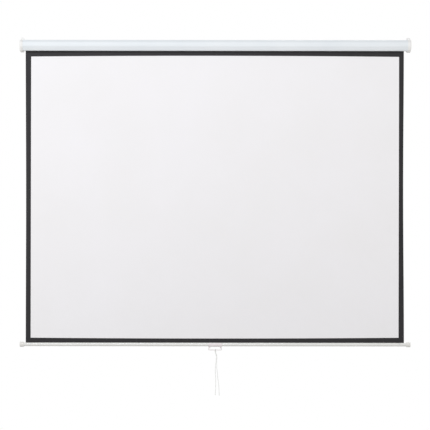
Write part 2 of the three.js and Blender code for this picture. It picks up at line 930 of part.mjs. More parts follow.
['a', 'b'].forEach((letter, i) => {
  const arm = new THREE.Group();
  arm.rotation.x = THREE.MathUtils.degToRad((i * wholeTurn) / pawlCount);
  rollerGroup.add(arm);
  add(arm, `pawl_${letter}`, pawl(), darkSteel());
  const pin = add(arm, `pawl_pin_${letter}`, pawlPin(), zincSteel());
  pin.position.z = pawlPivotRadius;
});

// Sheet

const sheetGroup = new THREE.Group();
sheetGroup.position.y = sheetY;
screen.add(sheetGroup);

const sheetFront = -sheetThickness / 2;
const layerFace = sheetFront + faceLayerShare * sheetThickness;

// The white face, in front of the black back, which is wider by the border on each side.
const face = block(
  [-viewingWidth / 2, viewingWidth / 2],
  [sheetFront, layerFace],
  [viewBottomZ, viewTopZ],
);
add(sheetGroup, 'viewing_surface', face, whiteSheet());
const back = block(
  [-sheetWidth / 2, sheetWidth / 2],
  [layerFace, sheetThickness / 2],
  [viewBottomZ, 0],
);
add(sheetGroup, 'backing_sheet', back, blackSheet());

// Weight bar

const barGroup = new THREE.Group();
barGroup.position.set(0, sheetY, barZ);
screen.add(barGroup);

const hemEyeRadius = hemRodRadius + gap;

// The hem: a strip down through the slit of the bar, and a loop round the rod inside it.
function bottomHem() {
  const length = [-sheetWidth / 2, sheetWidth / 2];
  const strip = block(
    length,
    [-sheetThickness / 2, sheetThickness / 2],
    [hemRodRadius + gap, barRadius + bottomBorder - gap],
  );
  const past = [length[0] - overrun, length[1] + overrun];
  return geometryOf(
    solid(cylinder(length, hemEyeRadius + hemWrap))
      .add(solid(strip))
      .subtract(solid(cylinder(past, hemEyeRadius))),
  );
}

const tubeEndX = endX - barCapLength + barCapBoreDepth;

// The bar is a tube with a slit along its top.
function weightBar() {
  const inner = barRadius - barWall;
  const up = Math.PI / 2;
  const outerHalf = Math.asin(barSlit / 2 / barRadius);
  const innerHalf = Math.asin(barSlit / 2 / inner);
  const round = 2 * Math.PI;
  const shape = new THREE.Shape();
  shape.absarc(0, 0, barRadius, up + outerHalf, up - outerHalf + round, false);
  shape.absarc(0, 0, inner, up - innerHalf + round, up + innerHalf, true);
  shape.closePath();
  let bar = solid(carry(shape, [-tubeEndX, tubeEndX], { curveSegments: fineSegments }));
  for (const side of [-1, 1]) {
    const hole = barScrewPlace(barScrewHole(), side);
    bar = bar.subtract(solid(hole));
  }
  return geometryOf(bar);
}

// A screw's parts are drawn along X from the bar's axis, then turned to the front of the bar.
function barScrewPlace(geometry, side) {
  const tilt = THREE.MathUtils.degToRad(barScrewTilt);
  return geometry
    .rotateZ(-Math.PI / 2)
    .rotateX(-tilt)
    .translate(side * (sheetWidth / 2 - barScrewInset), 0, 0);
}

function barScrewHole() {
  const reach = [hemEyeRadius + hemWrap, barRadius + overrun];
  return cylinder(reach, barScrewShankRadius + gap, smallSegments);
}

function barScrew() {
  const tip = hemEyeRadius + hemWrap + gap;
  const seat = barRadius + gap;
  const top = seat + barScrewHeadHeight;
  let screw = solid(
    turn(
      [
        [tip, 0],
        [tip, barScrewShankRadius],
        [seat, barScrewShankRadius],
        [seat, barScrewHeadRadius],
        [top - barScrewHeadHeight / 2, barScrewHeadRadius],
        [top, barScrewHeadRadius - barScrewHeadHeight / 2],
        [top, 0],
      ],
      smallSegments,
    ),
  );
  for (const cut of crossRecess(top, 1, barScrewHeadRadius)) screw = screw.subtract(solid(cut));
  return geometryOf(screw);
}

// A cup over the end of the bar, with a soft outer edge.
function barCap(side) {
  const inner = endX - barCapLength;
  const dome = [];
  for (let i = 0; i <= cornerSegments; i += 1) {
    const point = polar(barCapDome, upright - (i * upright) / cornerSegments);
    dome.push([side * (endX - barCapDome + point.x), barCapRadius - barCapDome + point.y]);
  }
  return turn(
    [
      [side * tubeEndX + side * gap, 0],
      [side * tubeEndX + side * gap, barRadius + gap],
      [side * inner, barRadius + gap],
      [side * inner, barCapRadius],
      ...dome,
      [side * endX, 0],
    ],
    fineSegments,
  );
}

add(barGroup, 'bottom_hem', bottomHem(), blackSheet());
const rodHalf = sheetWidth / 2;
add(barGroup, 'hem_rod', cylinder([-rodHalf, rodHalf], hemRodRadius), greyPlastic());
add(barGroup, 'weight_bar', weightBar(), paintedBar());
for (const { side, word } of sides) {
  add(barGroup, `bar_end_cap_${word}`, barCap(side), whitePlastic());
  add(barGroup, `bar_screw_${word}`, barScrewPlace(barScrew(), side), zincSteel());
}

// Handle

const pivotZ = -(sleeveRadius + loopPivotDrop);
const earX = sleeveLength / 2 - earSetIn;

// A sleeve that grips the bar and is open at the top, with an ear for each end of the loop.
function handleSleeve() {
  const half = THREE.MathUtils.degToRad(sleeveMouth / 2);
  const up = Math.PI / 2;
  const round = 2 * Math.PI;
  const inner = barRadius + gap;
  const shape = new THREE.Shape();
  shape.absarc(0, 0, sleeveRadius, up + half, up - half + round, false);
  shape.absarc(0, 0, inner, up - half + round, up + half, true);
  shape.closePath();
  const length = [-sleeveLength / 2, sleeveLength / 2];
  let sleeve = solid(carry(shape, length, { curveSegments: plainSegments }));
  for (const side of [-1, 1]) {
    const width = stretch(side, earX - earThickness, earX);
    const ear = new THREE.Shape();
    ear.absarc(0, pivotZ, earRadius, Math.PI, round, false);
    ear.lineTo(earRadius, -inner);
    ear.lineTo(-earRadius, -inner);
    ear.closePath();
    sleeve = sleeve.add(solid(carry(ear, width, { curveSegments: plainSegments / 2 })));
  }
  const past = [-sleeveLength / 2 - overrun, sleeveLength / 2 + overrun];
  const pinHole = at(cylinder(past, loopRodRadius + gap, smallSegments), 0, pivotZ);
  return geometryOf(sleeve.subtract(solid(pinHole)));
}

add(barGroup, 'handle_sleeve', handleSleeve(), handlePlastic());

// The loop hangs from its pins, so it is drawn about their axis.
const loopGroup = new THREE.Group();
loopGroup.position.set(0, 0, pivotZ);
barGroup.add(loopGroup);

const legX = earX + loopElbow + gap;

// One rod, bent from the pin at one end, down a leg, across to the other leg and up to its pin.
function pullLoop() {
  const place = (x, z) => new THREE.Vector3(x, 0, z);
  const bottom = -loopHeight;
  const pinEnd = earX - earThickness - gap;
  const crossEnd = legX - loopCorner;
  const path = new THREE.CurvePath();
  for (const side of [-1, 1]) {
    const half = [
      new THREE.LineCurve3(place(side * pinEnd, 0), place(side * (legX - loopElbow), 0)),
      new THREE.QuadraticBezierCurve3(
        place(side * (legX - loopElbow), 0),
        place(side * legX, 0),
        place(side * legX, -loopElbow),
      ),
      new THREE.LineCurve3(place(side * legX, -loopElbow), place(side * legX, bottom + loopCorner)),
      new THREE.QuadraticBezierCurve3(
        place(side * legX, bottom + loopCorner),
        place(side * legX, bottom),
        place(side * crossEnd, bottom),
      ),
      new THREE.LineCurve3(place(side * crossEnd, bottom), place(0, bottom)),
    ];
    if (side < 0) half.forEach((piece) => path.add(piece));
    else half.reverse().forEach((piece) => path.add(backwards(piece)));
  }
  return sweep(path, loopRodRadius, loopSteps, loopSides);
}

// The same curve drawn from its other end.
function backwards(curve) {
  const copy = curve.clone();
  const names = ['v0', 'v1', 'v2'].filter((name) => name in curve);
  names.forEach((name, i) => {
    copy[name] = curve[names[names.length - 1 - i]].clone();
  });
  return copy;
}

add(loopGroup, 'pull_loop', pullLoop(), handlePlastic());

// Cord

const hitchRadius = loopRodRadius + gap + cordRadius;
const hitchZ = -loopHeight;
const knotZ = hitchZ - hitchRadius - cordRadius - gap - cordKnotRadius;
const tailZ = knotZ - cordKnotRadius - gap;

// Two turns of cord side by side round the loop, as one band with round edges.
function cordHitch() {
  const straight = cordHitchWidth / 2 - cordRadius;
  const profile = [];
  for (let i = 0; i <= cordSides; i += 1) {
    const point = polar(cordRadius, (i * wholeTurn) / cordSides);
    profile.push([Math.sign(Math.round(point.x)) * straight + point.x, hitchRadius + point.y]);
  }
  return turn(profile, smallSegments);
}

const cordGroup = new THREE.Group();
cordGroup.position.x = cordSetOff;
loopGroup.add(cordGroup);
add(cordGroup, 'cord_hitch', cordHitch(), whiteCord()).position.z = hitchZ;
const knot = new THREE.SphereGeometry(cordKnotRadius, smallSegments, smallSegments / 2);
add(cordGroup, 'cord_knot', knot, whiteCord()).position.z = knotZ;

[
  { word: 'left', route: leftTail },
  { word: 'right', route: rightTail },
].forEach(({ word, route }) => {
  const curve = new THREE.CatmullRomCurve3(route.map((point) => new THREE.Vector3(...point)));
  const steps = Math.round(curve.getLength() / (cordStepDiameters * 2 * cordRadius));
  const tail = sweep(curve, cordRadius, steps, cordSides);
  add(cordGroup, `cord_tail_${word}`, tail, whiteCord()).position.z = tailZ;
  const tip = new THREE.SphereGeometry(cordTipRadius, smallSegments, smallSegments / 2);
  const [x, y, z] = route[route.length - 1];
  const mesh = add(cordGroup, `cord_tip_${word}`, tip, whiteCord());
  mesh.position.set(x, y, tailZ + z - gap - cordTipRadius);
});

export default screen;
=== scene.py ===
# %% [markdown]
# # A pull down projector screen
#
# This lesson dresses a screen that has already been drawn as plain solids. The solids give every
# size and every moving body. Here each one gets its fine shape and its finish: a painted steel
# case with moulded caps, a white sheet in a black border, a round bar with a handle, and a cord.
#
# All lengths are metres. +X runs along the screen, +Z is up, and the viewer stands on the -Y side.

import json

import bmesh
import bpy
import numpy as np
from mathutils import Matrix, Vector


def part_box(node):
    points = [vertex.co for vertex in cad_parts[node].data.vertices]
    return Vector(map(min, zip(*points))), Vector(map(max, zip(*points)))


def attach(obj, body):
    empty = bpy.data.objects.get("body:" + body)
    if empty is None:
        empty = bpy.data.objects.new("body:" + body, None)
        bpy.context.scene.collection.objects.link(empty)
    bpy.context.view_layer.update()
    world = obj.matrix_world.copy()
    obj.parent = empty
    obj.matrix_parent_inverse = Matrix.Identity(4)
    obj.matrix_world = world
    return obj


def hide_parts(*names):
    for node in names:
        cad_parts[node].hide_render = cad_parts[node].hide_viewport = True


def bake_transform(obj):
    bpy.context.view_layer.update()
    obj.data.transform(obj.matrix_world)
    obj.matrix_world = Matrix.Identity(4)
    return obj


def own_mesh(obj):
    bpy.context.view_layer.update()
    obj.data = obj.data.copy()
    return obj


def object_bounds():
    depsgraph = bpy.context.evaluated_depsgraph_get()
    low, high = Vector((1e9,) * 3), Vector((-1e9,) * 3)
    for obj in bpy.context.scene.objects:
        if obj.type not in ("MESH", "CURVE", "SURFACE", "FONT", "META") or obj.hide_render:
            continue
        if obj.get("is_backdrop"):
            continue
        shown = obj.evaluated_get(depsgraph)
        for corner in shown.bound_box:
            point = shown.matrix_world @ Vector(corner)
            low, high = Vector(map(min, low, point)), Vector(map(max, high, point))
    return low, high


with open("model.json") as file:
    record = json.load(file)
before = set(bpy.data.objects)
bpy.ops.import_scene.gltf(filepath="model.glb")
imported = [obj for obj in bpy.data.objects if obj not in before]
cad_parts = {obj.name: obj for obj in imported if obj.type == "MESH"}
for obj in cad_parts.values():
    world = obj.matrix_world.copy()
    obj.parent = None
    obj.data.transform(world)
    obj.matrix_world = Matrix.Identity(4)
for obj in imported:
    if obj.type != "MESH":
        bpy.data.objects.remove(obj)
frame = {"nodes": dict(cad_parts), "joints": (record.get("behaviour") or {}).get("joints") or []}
solid_low, solid_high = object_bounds()
MM = 0.001

# %% [markdown]
# ## Colour and nodes
#
# A shader wants linear numbers, while colours are chosen as sRGB hex, so one function turns the
# second into the first. Another small function adds a node: its own settings are named
# arguments, and a dictionary gives each input either a value or the output of another node.


# %% Two helpers for materials
def linear(hex_colour):
    """sRGB to linear, channel by channel: a straight part near black, a 2.4 power above it."""
    c = np.array([int(hex_colour[i : i + 2], 16) for i in (1, 3, 5)]) / 255
    c = np.where(c <= 0.04045, c / 12.92, ((c + 0.055) / 1.055) ** 2.4)
    return (*c.tolist(), 1.0)


def add_node(tree, kind, inputs=None, **settings):
    """Adds one node with its settings, and gives its inputs a value or a link."""
    node = tree.nodes.new(kind)
    for name, value in settings.items():
        setattr(node, name, value)
    for name, value in (inputs or {}).items():
        if isinstance(value, bpy.types.NodeSocket):
            tree.links.new(value, node.inputs[name])
        else:
            node.inputs[name].default_value = value
    return node


# %% [markdown]
# Paint, moulded plastic, sheet and metal differ in numbers more than in kind. Each has a colour
# that drifts a little over patches a hand or two wide, a roughness that drifts with it, and a
# fine skin: orange peel on powder coat, spark texture on a moulding, grain on vinyl, scratches on
# drawn steel. One recipe therefore serves them all, and takes every pattern's size in millimetres.


# %% A recipe for a finish
def finish(name, tones, patch, grain, height, roughness, sockets=None, stretch=(1, 1, 1)):
    """Noise as wide as patch picks a colour between two tones and a roughness between two
    values. Noise as wide as grain, stretched along an axis if the skin has a direction, raises
    the skin by height. All three sizes are millimetres on the object."""
    material = bpy.data.materials.new(name)
    material.use_nodes = True
    tree = material.node_tree
    shader = tree.nodes["Principled BSDF"]
    for socket, value in (sockets or {}).items():
        shader.inputs[socket].default_value = value
    place = add_node(tree, "ShaderNodeTexCoord").outputs["Object"]
    patches = add_node(
        tree, "ShaderNodeTexNoise", {"Vector": place, "Scale": 1 / (patch * MM), "Detail": 3.0}
    )
    ramp = add_node(tree, "ShaderNodeValToRGB", {"Fac": patches.outputs["Fac"]})
    for element, tone, position in zip(ramp.color_ramp.elements, tones, (0.3, 0.7)):
        element.color, element.position = linear(tone), position
    drift = add_node(
        tree,
        "ShaderNodeMapRange",
        {"Value": patches.outputs["Fac"], "To Min": roughness[0], "To Max": roughness[1]},
    )
    turned_place = add_node(tree, "ShaderNodeMapping", {"Vector": place, "Scale": stretch})
    skin = add_node(
        tree,
        "ShaderNodeTexNoise",
        {"Vector": turned_place.outputs["Vector"], "Scale": 1 / (grain * MM), "Detail": 2.0},
    )
    relief = add_node(
        tree, "ShaderNodeBump", {"Height": skin.outputs["Fac"], "Distance": height * MM}
    )
    tree.links.new(ramp.outputs["Color"], shader.inputs["Base Color"])
    tree.links.new(drift.outputs["Result"], shader.inputs["Roughness"])
    tree.links.new(relief.outputs["Normal"], shader.inputs["Normal"])
    return material


# %% [markdown]
# ## Shapes as grids
#
# Every new piece is a grid of points: rows and columns of (x, y, z), worked out as whole arrays.
# Where a shape closes on itself the last column repeats the first, and where it ends in a pole a
# whole row sits at one point. The builder below joins such repeated points, turns the faces
# outwards, and marks as sharp only the edges that are.


# %% From grids to a piece
SAME_POINT = 0.0002 * MM


def quads(rows, columns, first=0):
    """The four corners of every cell of a grid whose points are numbered row by row."""
    index = first + np.arange(rows * columns).reshape(rows, columns)
    corners = index[:-1, :-1], index[:-1, 1:], index[1:, 1:], index[1:, :-1]
    return np.stack(corners, axis=-1).reshape(-1, 4)


def piece(name, grids, material, body, replaces=(), sharp=40, ends=False):
    """One mesh from one or more grids, which rides on a body and stands for the solids that it
    replaces. Edges bent by more than sharp degrees look sharp. With ends, a polygon closes each
    grid's first and last row. A body of None leaves the piece unparented."""
    grids = [np.asarray(grid, float) for grid in (grids if isinstance(grids, list) else [grids])]
    faces, start = [], 0
    for grid in grids:
        rows, columns = grid.shape[:2]
        faces += quads(rows, columns, start).tolist()
        if ends:
            for corner in (start, start + (rows - 1) * columns):
                faces.append(list(range(corner, corner + columns - 1)))
        start += rows * columns
    mesh = bpy.data.meshes.new(name)
    mesh.from_pydata(np.concatenate([g.reshape(-1, 3) for g in grids]).tolist(), [], faces)
    tidy = bmesh.new()
    tidy.from_mesh(mesh)
    bmesh.ops.remove_doubles(tidy, verts=tidy.verts, dist=SAME_POINT)
    bmesh.ops.recalc_face_normals(tidy, faces=tidy.faces)
    tidy.to_mesh(mesh)
    tidy.free()
    mesh.shade_smooth()
    mesh.set_sharp_from_angle(angle=np.radians(sharp))
    mesh.materials.append(material)
    made = bpy.data.objects.new(name, mesh)
    bpy.context.scene.collection.objects.link(made)
    if body:
        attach(made, body)
    if replaces:
        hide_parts(*([replaces] if isinstance(replaces, str) else replaces))
    print(f"{name}: {len(mesh.vertices)} points, {len(mesh.polygons)} faces")
    return made


# %% [markdown]
# ## The camera
#
# The photograph is taken square on and level, and its frame is as wide as it is high. It comes
# from far away: the case stands five centimetres in front of the sheet, and yet looks no bigger
# for it. A 36 mm sensor sees 36 / lens metres for each metre of distance. The screen hangs a
# little out of true in the picture, so the camera is rolled by that much instead.


# %% Camera
def centre(name):
    """The middle of a solid's box, as an array of x, y and z."""
    return np.add(*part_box(name)) / 2


SHEET_Y = centre("backing_sheet")[1]
FRAME_WIDTH, DISTANCE = 2.336, 12.0
VIEW_X, VIEW_Z = -0.0011, -0.9195
ROLL = -0.06
camera_data = bpy.data.cameras.new("camera")
camera_data.sensor_width = 36.0
camera_data.lens = camera_data.sensor_width * DISTANCE / FRAME_WIDTH
camera = bpy.data.objects.new("camera", camera_data)
camera.location = (VIEW_X, SHEET_Y - DISTANCE, VIEW_Z)
camera.rotation_euler = np.radians((90.0, ROLL, 0.0))
bpy.context.scene.collection.objects.link(camera)
bpy.context.scene.camera = camera
print("lens", round(camera_data.lens, 1), "mm")

# %% [markdown]
# ## The pull cord
#
# The cord is thin braided nylon, tied round the handle's loop. Its two tails hang from the knot
# to a small knot each, and both ends are in the photograph, so their length is what it shows. A
# tail is a circle carried along a smooth curve through a few given points. The circle
# swells and sinks in three strands that wind round it, which is enough to read as cord.


# %% Curves and tubes
STRAND_DIP = 0.16


def smooth_path(points, step):
    """A curve through the points, sampled every step: between two of them it is the cubic that
    has their places and the slopes of their neighbours."""
    points = np.asarray(points, float)
    span = np.linalg.norm(np.diff(points, axis=0), axis=1)
    place = np.concatenate([[0.0], np.cumsum(span)])
    slope = np.gradient(points, place, axis=0)
    s = np.linspace(0, place[-1], int(place[-1] / step) + 1)
    i = np.clip(np.searchsorted(place, s, side="right") - 1, 0, len(span) - 1)
    t, h = ((s - place[i]) / span[i])[:, None], span[i][:, None]
    start, end = points[i] * (2 * t**3 - 3 * t**2 + 1), points[i + 1] * (3 * t**2 - 2 * t**3)
    return start + end + h * slope[i] * (t**3 - 2 * t**2 + t) + h * slope[i + 1] * (t**3 - t**2)


def length_of(path):
    return np.linalg.norm(np.diff(path, axis=0), axis=1).sum()


def tube(path, radius, sides, across, strands=0, pitch=0.008, closed=False):
    """A circle carried along a path: P + r (cos a N + sin a B), where B is the path's direction
    crossed with a fixed vector and N is square to both. With strands, r dips between them as
    |cos| of half the strands times the angle, which turns once in each pitch. A closed path
    takes the nearest pitch that brings its strands back to where they began."""
    path = np.asarray(path, float)
    if closed:
        along = np.roll(path, -1, axis=0) - np.roll(path, 1, axis=0)
        path, along = (np.concatenate([a, a[:1]]) for a in (path, along))
    else:
        along = np.gradient(path, axis=0)
    along /= np.linalg.norm(along, axis=1, keepdims=True)
    side = np.cross(along, across)
    side /= np.linalg.norm(side, axis=1, keepdims=True)
    normal = np.cross(side, along)
    angle = np.linspace(0, 2 * np.pi, sides + 1)
    steps = np.linalg.norm(np.diff(path, axis=0), axis=1)
    far = np.concatenate([[0.0], np.cumsum(steps)])
    if closed and strands:
        pitch = strands * far[-1] / round(strands * far[-1] / pitch)
    wind = angle[None, :] - 2 * np.pi * far[:, None] / pitch
    r = radius * (1 - STRAND_DIP * (1 - np.abs(np.cos(strands / 2 * wind))) * (strands > 0))
    ring = np.cos(angle)[None, :, None] * normal[:, None]
    ring = ring + np.sin(angle)[None, :, None] * side[:, None]
    grid = path[:, None] + r[..., None] * ring
    if closed:
        return grid
    poles = [np.broadcast_to(path[i], grid[:1].shape) for i in (0, -1)]
    return np.concatenate([poles[0], grid, poles[1]])


# %% [markdown]
# Nylon cord is white, slightly translucent and soft at its edge, which a little sheen gives. The
# braid is about half a millimetre a stitch. That is far too fine to show from across a room, so
# it is drawn at one millimetre, and only as relief.

# %% Cord finish
nylon_cord = finish(
    "braided_nylon_cord", ("#ebebe8", "#f6f6f3"), 12, 1.0, 0.12, (0.6, 0.75),
    {"Sheen Weight": 0.3, "Sheen Roughness": 0.5, "IOR": 1.53},
)

# %% Where the cord runs
CORD_RADIUS = 1.5 * MM
KNOT_PLACE = np.array([2.0 * MM, SHEET_Y, -1.66235])
TAIL_TOP = KNOT_PLACE + np.array([0, 0, -4.3]) * MM
# Points on each tail, in millimetres from the underside of the knot.
ROUTES = {
    "left": [
        (-1.7, 0, 0), (2.4, 0.2, -11), (4.6, 0.4, -24), (4.6, 0.5, -35), (3.8, 0.4, -46),
        (1.8, 0.2, -57), (-0.1, 0, -71), (-0.4, -0.3, -87), (-0.7, -0.5, -103), (-0.4, -0.6, -119),
        (1.2, -0.4, -133), (1.4, -0.1, -149), (1.5, 0.2, -166), (1.5, 0.3, -182), (1.4, 0.4, -198),
        (-0.1, 0.4, -215), (-0.7, 0.3, -225),
    ],
    "right": [
        (1.7, 0, 0), (6, 0.2, -11), (8.2, 0.4, -24), (8.2, 0.5, -35), (7.4, 0.4, -46),
        (6.4, 0.2, -57), (6.9, 0.2, -71), (8, 0.4, -87), (9.9, 0.7, -103), (11.6, 0.9, -119),
        (12.4, 1, -133), (14.3, 0.8, -149), (16.7, 0.4, -166), (18.6, 0, -182), (19.1, -0.3, -198),
        (20, -0.5, -215), (20.5, -0.6, -226),
    ],
}

# %% [markdown]
# The cord is doubled and hitched round the middle of the loop: both halves go up behind the rod,
# over it and down in front, and the doubled bend lies across them. Below it one knot
# gathers both tails, whose first few millimetres belong to the knot.

# %% Hitch and knot
def overhand(middle, size, radius, flat=0.8):
    """A closed overhand knot: x = sin t + 2 sin 2t, z = cos t - 2 cos 2t, y = -sin 3t, scaled."""
    t = np.linspace(0, 2 * np.pi, 120, endpoint=False)
    knot = np.stack([
        np.sin(t) + 2 * np.sin(2 * t), -flat * np.sin(3 * t), np.cos(t) - 2 * np.cos(2 * t)
    ], axis=1)
    return tube(middle + size * knot, radius, 12, (0, 1, 0), strands=3, closed=True)


# The hitch goes round the axis of the loop's rod, above the knot.
ROD_RADIUS = 2.25 * MM
HITCH_PLACE = KNOT_PLACE + np.array([0, 0, 9.85]) * MM
u = np.linspace(0, 1, 181)
there_and_back = 1 - np.abs(2 * u - 1)
# Each half goes 305 degrees round the rod in 86% of its way, and then lies still.
around = np.radians(-25 - 305 * np.clip(there_and_back / 0.86, 0, 1))
# At the doubled bend the cord bulges by 1.9 mm, over the halves that it crosses.
crossing = np.exp(-(((u - 0.5) / 0.055) ** 2))
reach = ROD_RADIUS + CORD_RADIUS + (0.1 + 1.9 * crossing) * MM
# The halves lie 1.8 mm either side of the middle.
sideways = 1.8 * MM * np.tanh((u - 0.5) * 24)
wrap = HITCH_PLACE + np.stack([sideways, -reach * np.sin(around), -reach * np.cos(around)], axis=1)
join = [KNOT_PLACE + np.array([x, 0.5, 0]) * MM for x in (-0.9, 0.9)]
wrap_path = smooth_path([join[0], *wrap[::4], join[1]], 0.4 * MM)
grid = tube(wrap_path, CORD_RADIUS, 15, (1, 0.02, 0), strands=3)
hitch = piece("cord_hitch_wraps", grid, nylon_cord, "handle", "cord_hitch")
knot = overhand(KNOT_PLACE, size=0.9 * MM, radius=1.35 * MM)
stubs = []
for route in ROUTES.values():
    top = TAIL_TOP + np.array(route[0]) * MM
    into_knot = smooth_path([top + (0, 0, -0.3 * MM), (top + KNOT_PLACE) / 2, KNOT_PLACE], 0.4 * MM)
    stubs.append(tube(into_knot, CORD_RADIUS, 15, (0, 1, 0), strands=3))
main_knot = piece(
    "cord_main_knot", [knot, *stubs], nylon_cord, "handle", "cord_knot"
)

# %% The two tails and the knots at their ends
for word, route in ROUTES.items():
    path = smooth_path(TAIL_TOP + np.array(route) * MM, 0.6 * MM)
    grid = tube(path, CORD_RADIUS, 15, (0, 1, 0), strands=3)
    tail = piece(f"pull_cord_{word}", grid, nylon_cord, None, f"cord_tail_{word}")
    end = path[-1] + np.array([0, 0, -2.6]) * MM
    knot = overhand(end, size=0.6 * MM, radius=1.05 * MM)
    stub = smooth_path(end + np.array([(0, 0, 0), (0.3, 0, -2.2), (0.6, 0, -4.2)]) * MM, 0.4 * MM)
    tip = piece(
        f"cord_end_knot_{word}", [knot, tube(stub, 0.8 * CORD_RADIUS, 12, (0, 1, 0), strands=3)],
        nylon_cord, "bar", f"cord_tip_{word}",
    )
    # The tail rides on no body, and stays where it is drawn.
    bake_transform(tail)
    print(word, "tail", round(length_of(path), 4), "m")

# %% [markdown]
# ## The sheet
#
# The sheet is white vinyl on a black back, with a border printed black round the 4:3 area. It
# hangs from the back of the roller. Vinyl that is pulled tight draws in at half height and curls
# along its free edges: here the border bends back by 8 mm, which still fits in the case once the
# screen is up. The printed lines above and below bow outwards by a few millimetres at
# mid-length, and the print sits a millimetre or two out of square.
#
# A grid whose lines run exactly along the printed edge keeps that edge crisp, because whole
# cells then take the white or the black material. Solidify gives the sheet its half millimetre.

# %% Sheet finishes
# Matt white vinyl: nearly a perfect diffuser, with an embossed grain that is drawn at 3 mm.
matt_white_vinyl = finish(
    "matt_white_vinyl", ("#f5f3f4", "#f7f5f7"), 400, 3.0, 0.05, (0.85, 0.95),
    {"Specular IOR Level": 0.25, "IOR": 1.5},
)
# Black vinyl ink: the same grain, but smoother, so that it takes a soft grey sheen from lamps.
black_vinyl = finish(
    "black_vinyl", ("#1d1b1e", "#252325"), 160, 3.0, 0.05, (0.38, 0.46),
    {"Specular IOR Level": 0.3, "IOR": 1.5},
)

# %% Sheet
HALF_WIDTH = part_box("backing_sheet")[1].x
white_low, white_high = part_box("viewing_surface")
BORDER = HALF_WIDTH - white_high.x
FOOT_Z = -1.5945
SHEET_THICKNESS = 0.5 * MM
TOP_SHIFT, FOOT_SHIFT = -3.35 * MM, -1.35 * MM
CURL, DRAW_IN, LEAN = 7.8 * MM, 2.4 * MM, 0.8 * MM
PRINT_SHIFT, PRINT_LEAN, PRINT_TRIM = -1.15 * MM, -1.6 * MM, 0.8 * MM
BORDER_COLUMNS, WHITE_COLUMNS = 13, 141
TOP_ROWS, WHITE_ROWS, FOOT_ROWS = 7, 121, 4


def sheet_grid():
    """Columns run between the side edges and the printed lines, rows between the parabolas
    z(x) of the printed lines above and below. Across the border, y curls back as A b^3, where
    b goes from 0 to 1 and A is a sine of the height, and x draws in by that sine squared times
    b^3. Two slow sines ripple the whole sheet. Its side edges stand a little to the left, and the
    print too, which is trimmed by under a millimetre at each side."""
    across = np.concatenate([
        np.linspace(-HALF_WIDTH, white_low.x, BORDER_COLUMNS)[:-1],
        np.linspace(white_low.x, white_high.x, WHITE_COLUMNS),
        np.linspace(white_high.x, HALF_WIDTH, BORDER_COLUMNS)[1:],
    ])
    bow = 1 - (across / white_high.x) ** 2
    top = white_high.z + (-4.7 + 5.0 * bow) * MM
    bottom = white_low.z + (3.9 - 4.2 * bow + 0.7 * across) * MM
    lines = [np.zeros_like(top), top, bottom, np.full_like(top, FOOT_Z)]
    counts = (TOP_ROWS, WHITE_ROWS, FOOT_ROWS)
    rows = [
        a + (b - a) * np.linspace(0, 1, count)[:, None]
        for a, b, count in zip(lines, lines[1:], counts)
    ]
    z = np.concatenate([rows[0][:-1], rows[1], rows[2][1:]])
    x = np.broadcast_to(across, z.shape)
    height = np.sin(np.pi * np.clip(z / FOOT_Z, 0, 1))
    share = np.clip((np.abs(x) - white_high.x) / BORDER, 0, 1)
    ripple = 0.5 * MM * height**2 * np.sin(9 * x + 2 * z) * np.sin(2.3 * z + 0.7)
    y = SHEET_Y - SHEET_THICKNESS / 2 + CURL * height * share**3 + ripple
    down = z / FOOT_Z
    edge_shift = TOP_SHIFT + (FOOT_SHIFT - TOP_SHIFT) * down - LEAN * height**2
    print_shift = PRINT_SHIFT + PRINT_LEAN * down - PRINT_TRIM * x / white_high.x
    x = x - np.sign(x) * DRAW_IN * height**2 * share**3
    x = x + share * edge_shift + (1 - share) * print_shift
    row = np.arange(len(z) - 1) - (TOP_ROWS - 1)
    white_row = (row >= 0) & (row < WHITE_ROWS - 1)
    white_column = np.abs(across[:-1] + across[1:]) / 2 < white_high.x
    is_white = white_row[:, None] & white_column[None, :]
    return np.stack([x, y, z], axis=-1), is_white


grid, is_white = sheet_grid()
sheet = piece(
    "screen_sheet", grid, matt_white_vinyl, "case", ("viewing_surface", "backing_sheet"),
)
sheet.data.materials.append(black_vinyl)
normals = np.empty(3 * len(sheet.data.polygons))
sheet.data.polygons.foreach_get("normal", normals)
if normals.reshape(-1, 3)[:, 1].mean() > 0:
    sheet.data.flip_normals()
sheet.data.polygons.foreach_set("material_index", (~is_white).astype(np.int32).ravel())
thicken = sheet.modifiers.new("thickness", "SOLIDIFY")
thicken.thickness = SHEET_THICKNESS
thicken.offset = -1.0
thicken.material_offset = 1
thicken.material_offset_rim = 1
print("white faces", int(is_white.sum()), "of", is_white.size)

# %% [markdown]
# As the bar rises the sheet winds up, which a mesh that is fixed to the case can't do. Here the
# sheet only gets a mesh of its own, and the joints from model.json are listed by name.

# %% Joints, and the sheet's own mesh
joints = {joint["name"]: joint for joint in frame["joints"]}
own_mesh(sheet)

# %% [markdown]
# ## Turns left on the roller
#
# Three turns never leave the roller. They are a spiral: a strip as thick as the sheet, whose
# radius grows by one thickness a turn, ending where the hanging sheet leaves the roller. It is
# drawn a little thinner than the sheet, so that the turns stay apart.

# %% The wound turns
ROLLER_Y = centre("roller_tube")[1]
ROLL_RADIUS = SHEET_Y - ROLLER_Y
WRAPS = 3
HALF_STRIP = 0.23 * MM


def along_x(outline, stations):
    """Repeats an outline of (y, z) at several x, and joins its end to its start."""
    outline = np.concatenate([outline, outline[:1]])
    x = np.broadcast_to(np.asarray(stations)[:, None], (len(stations), len(outline)))
    yz = np.broadcast_to(outline, (len(stations), *outline.shape))
    return np.concatenate([x[..., None], yz], axis=-1)


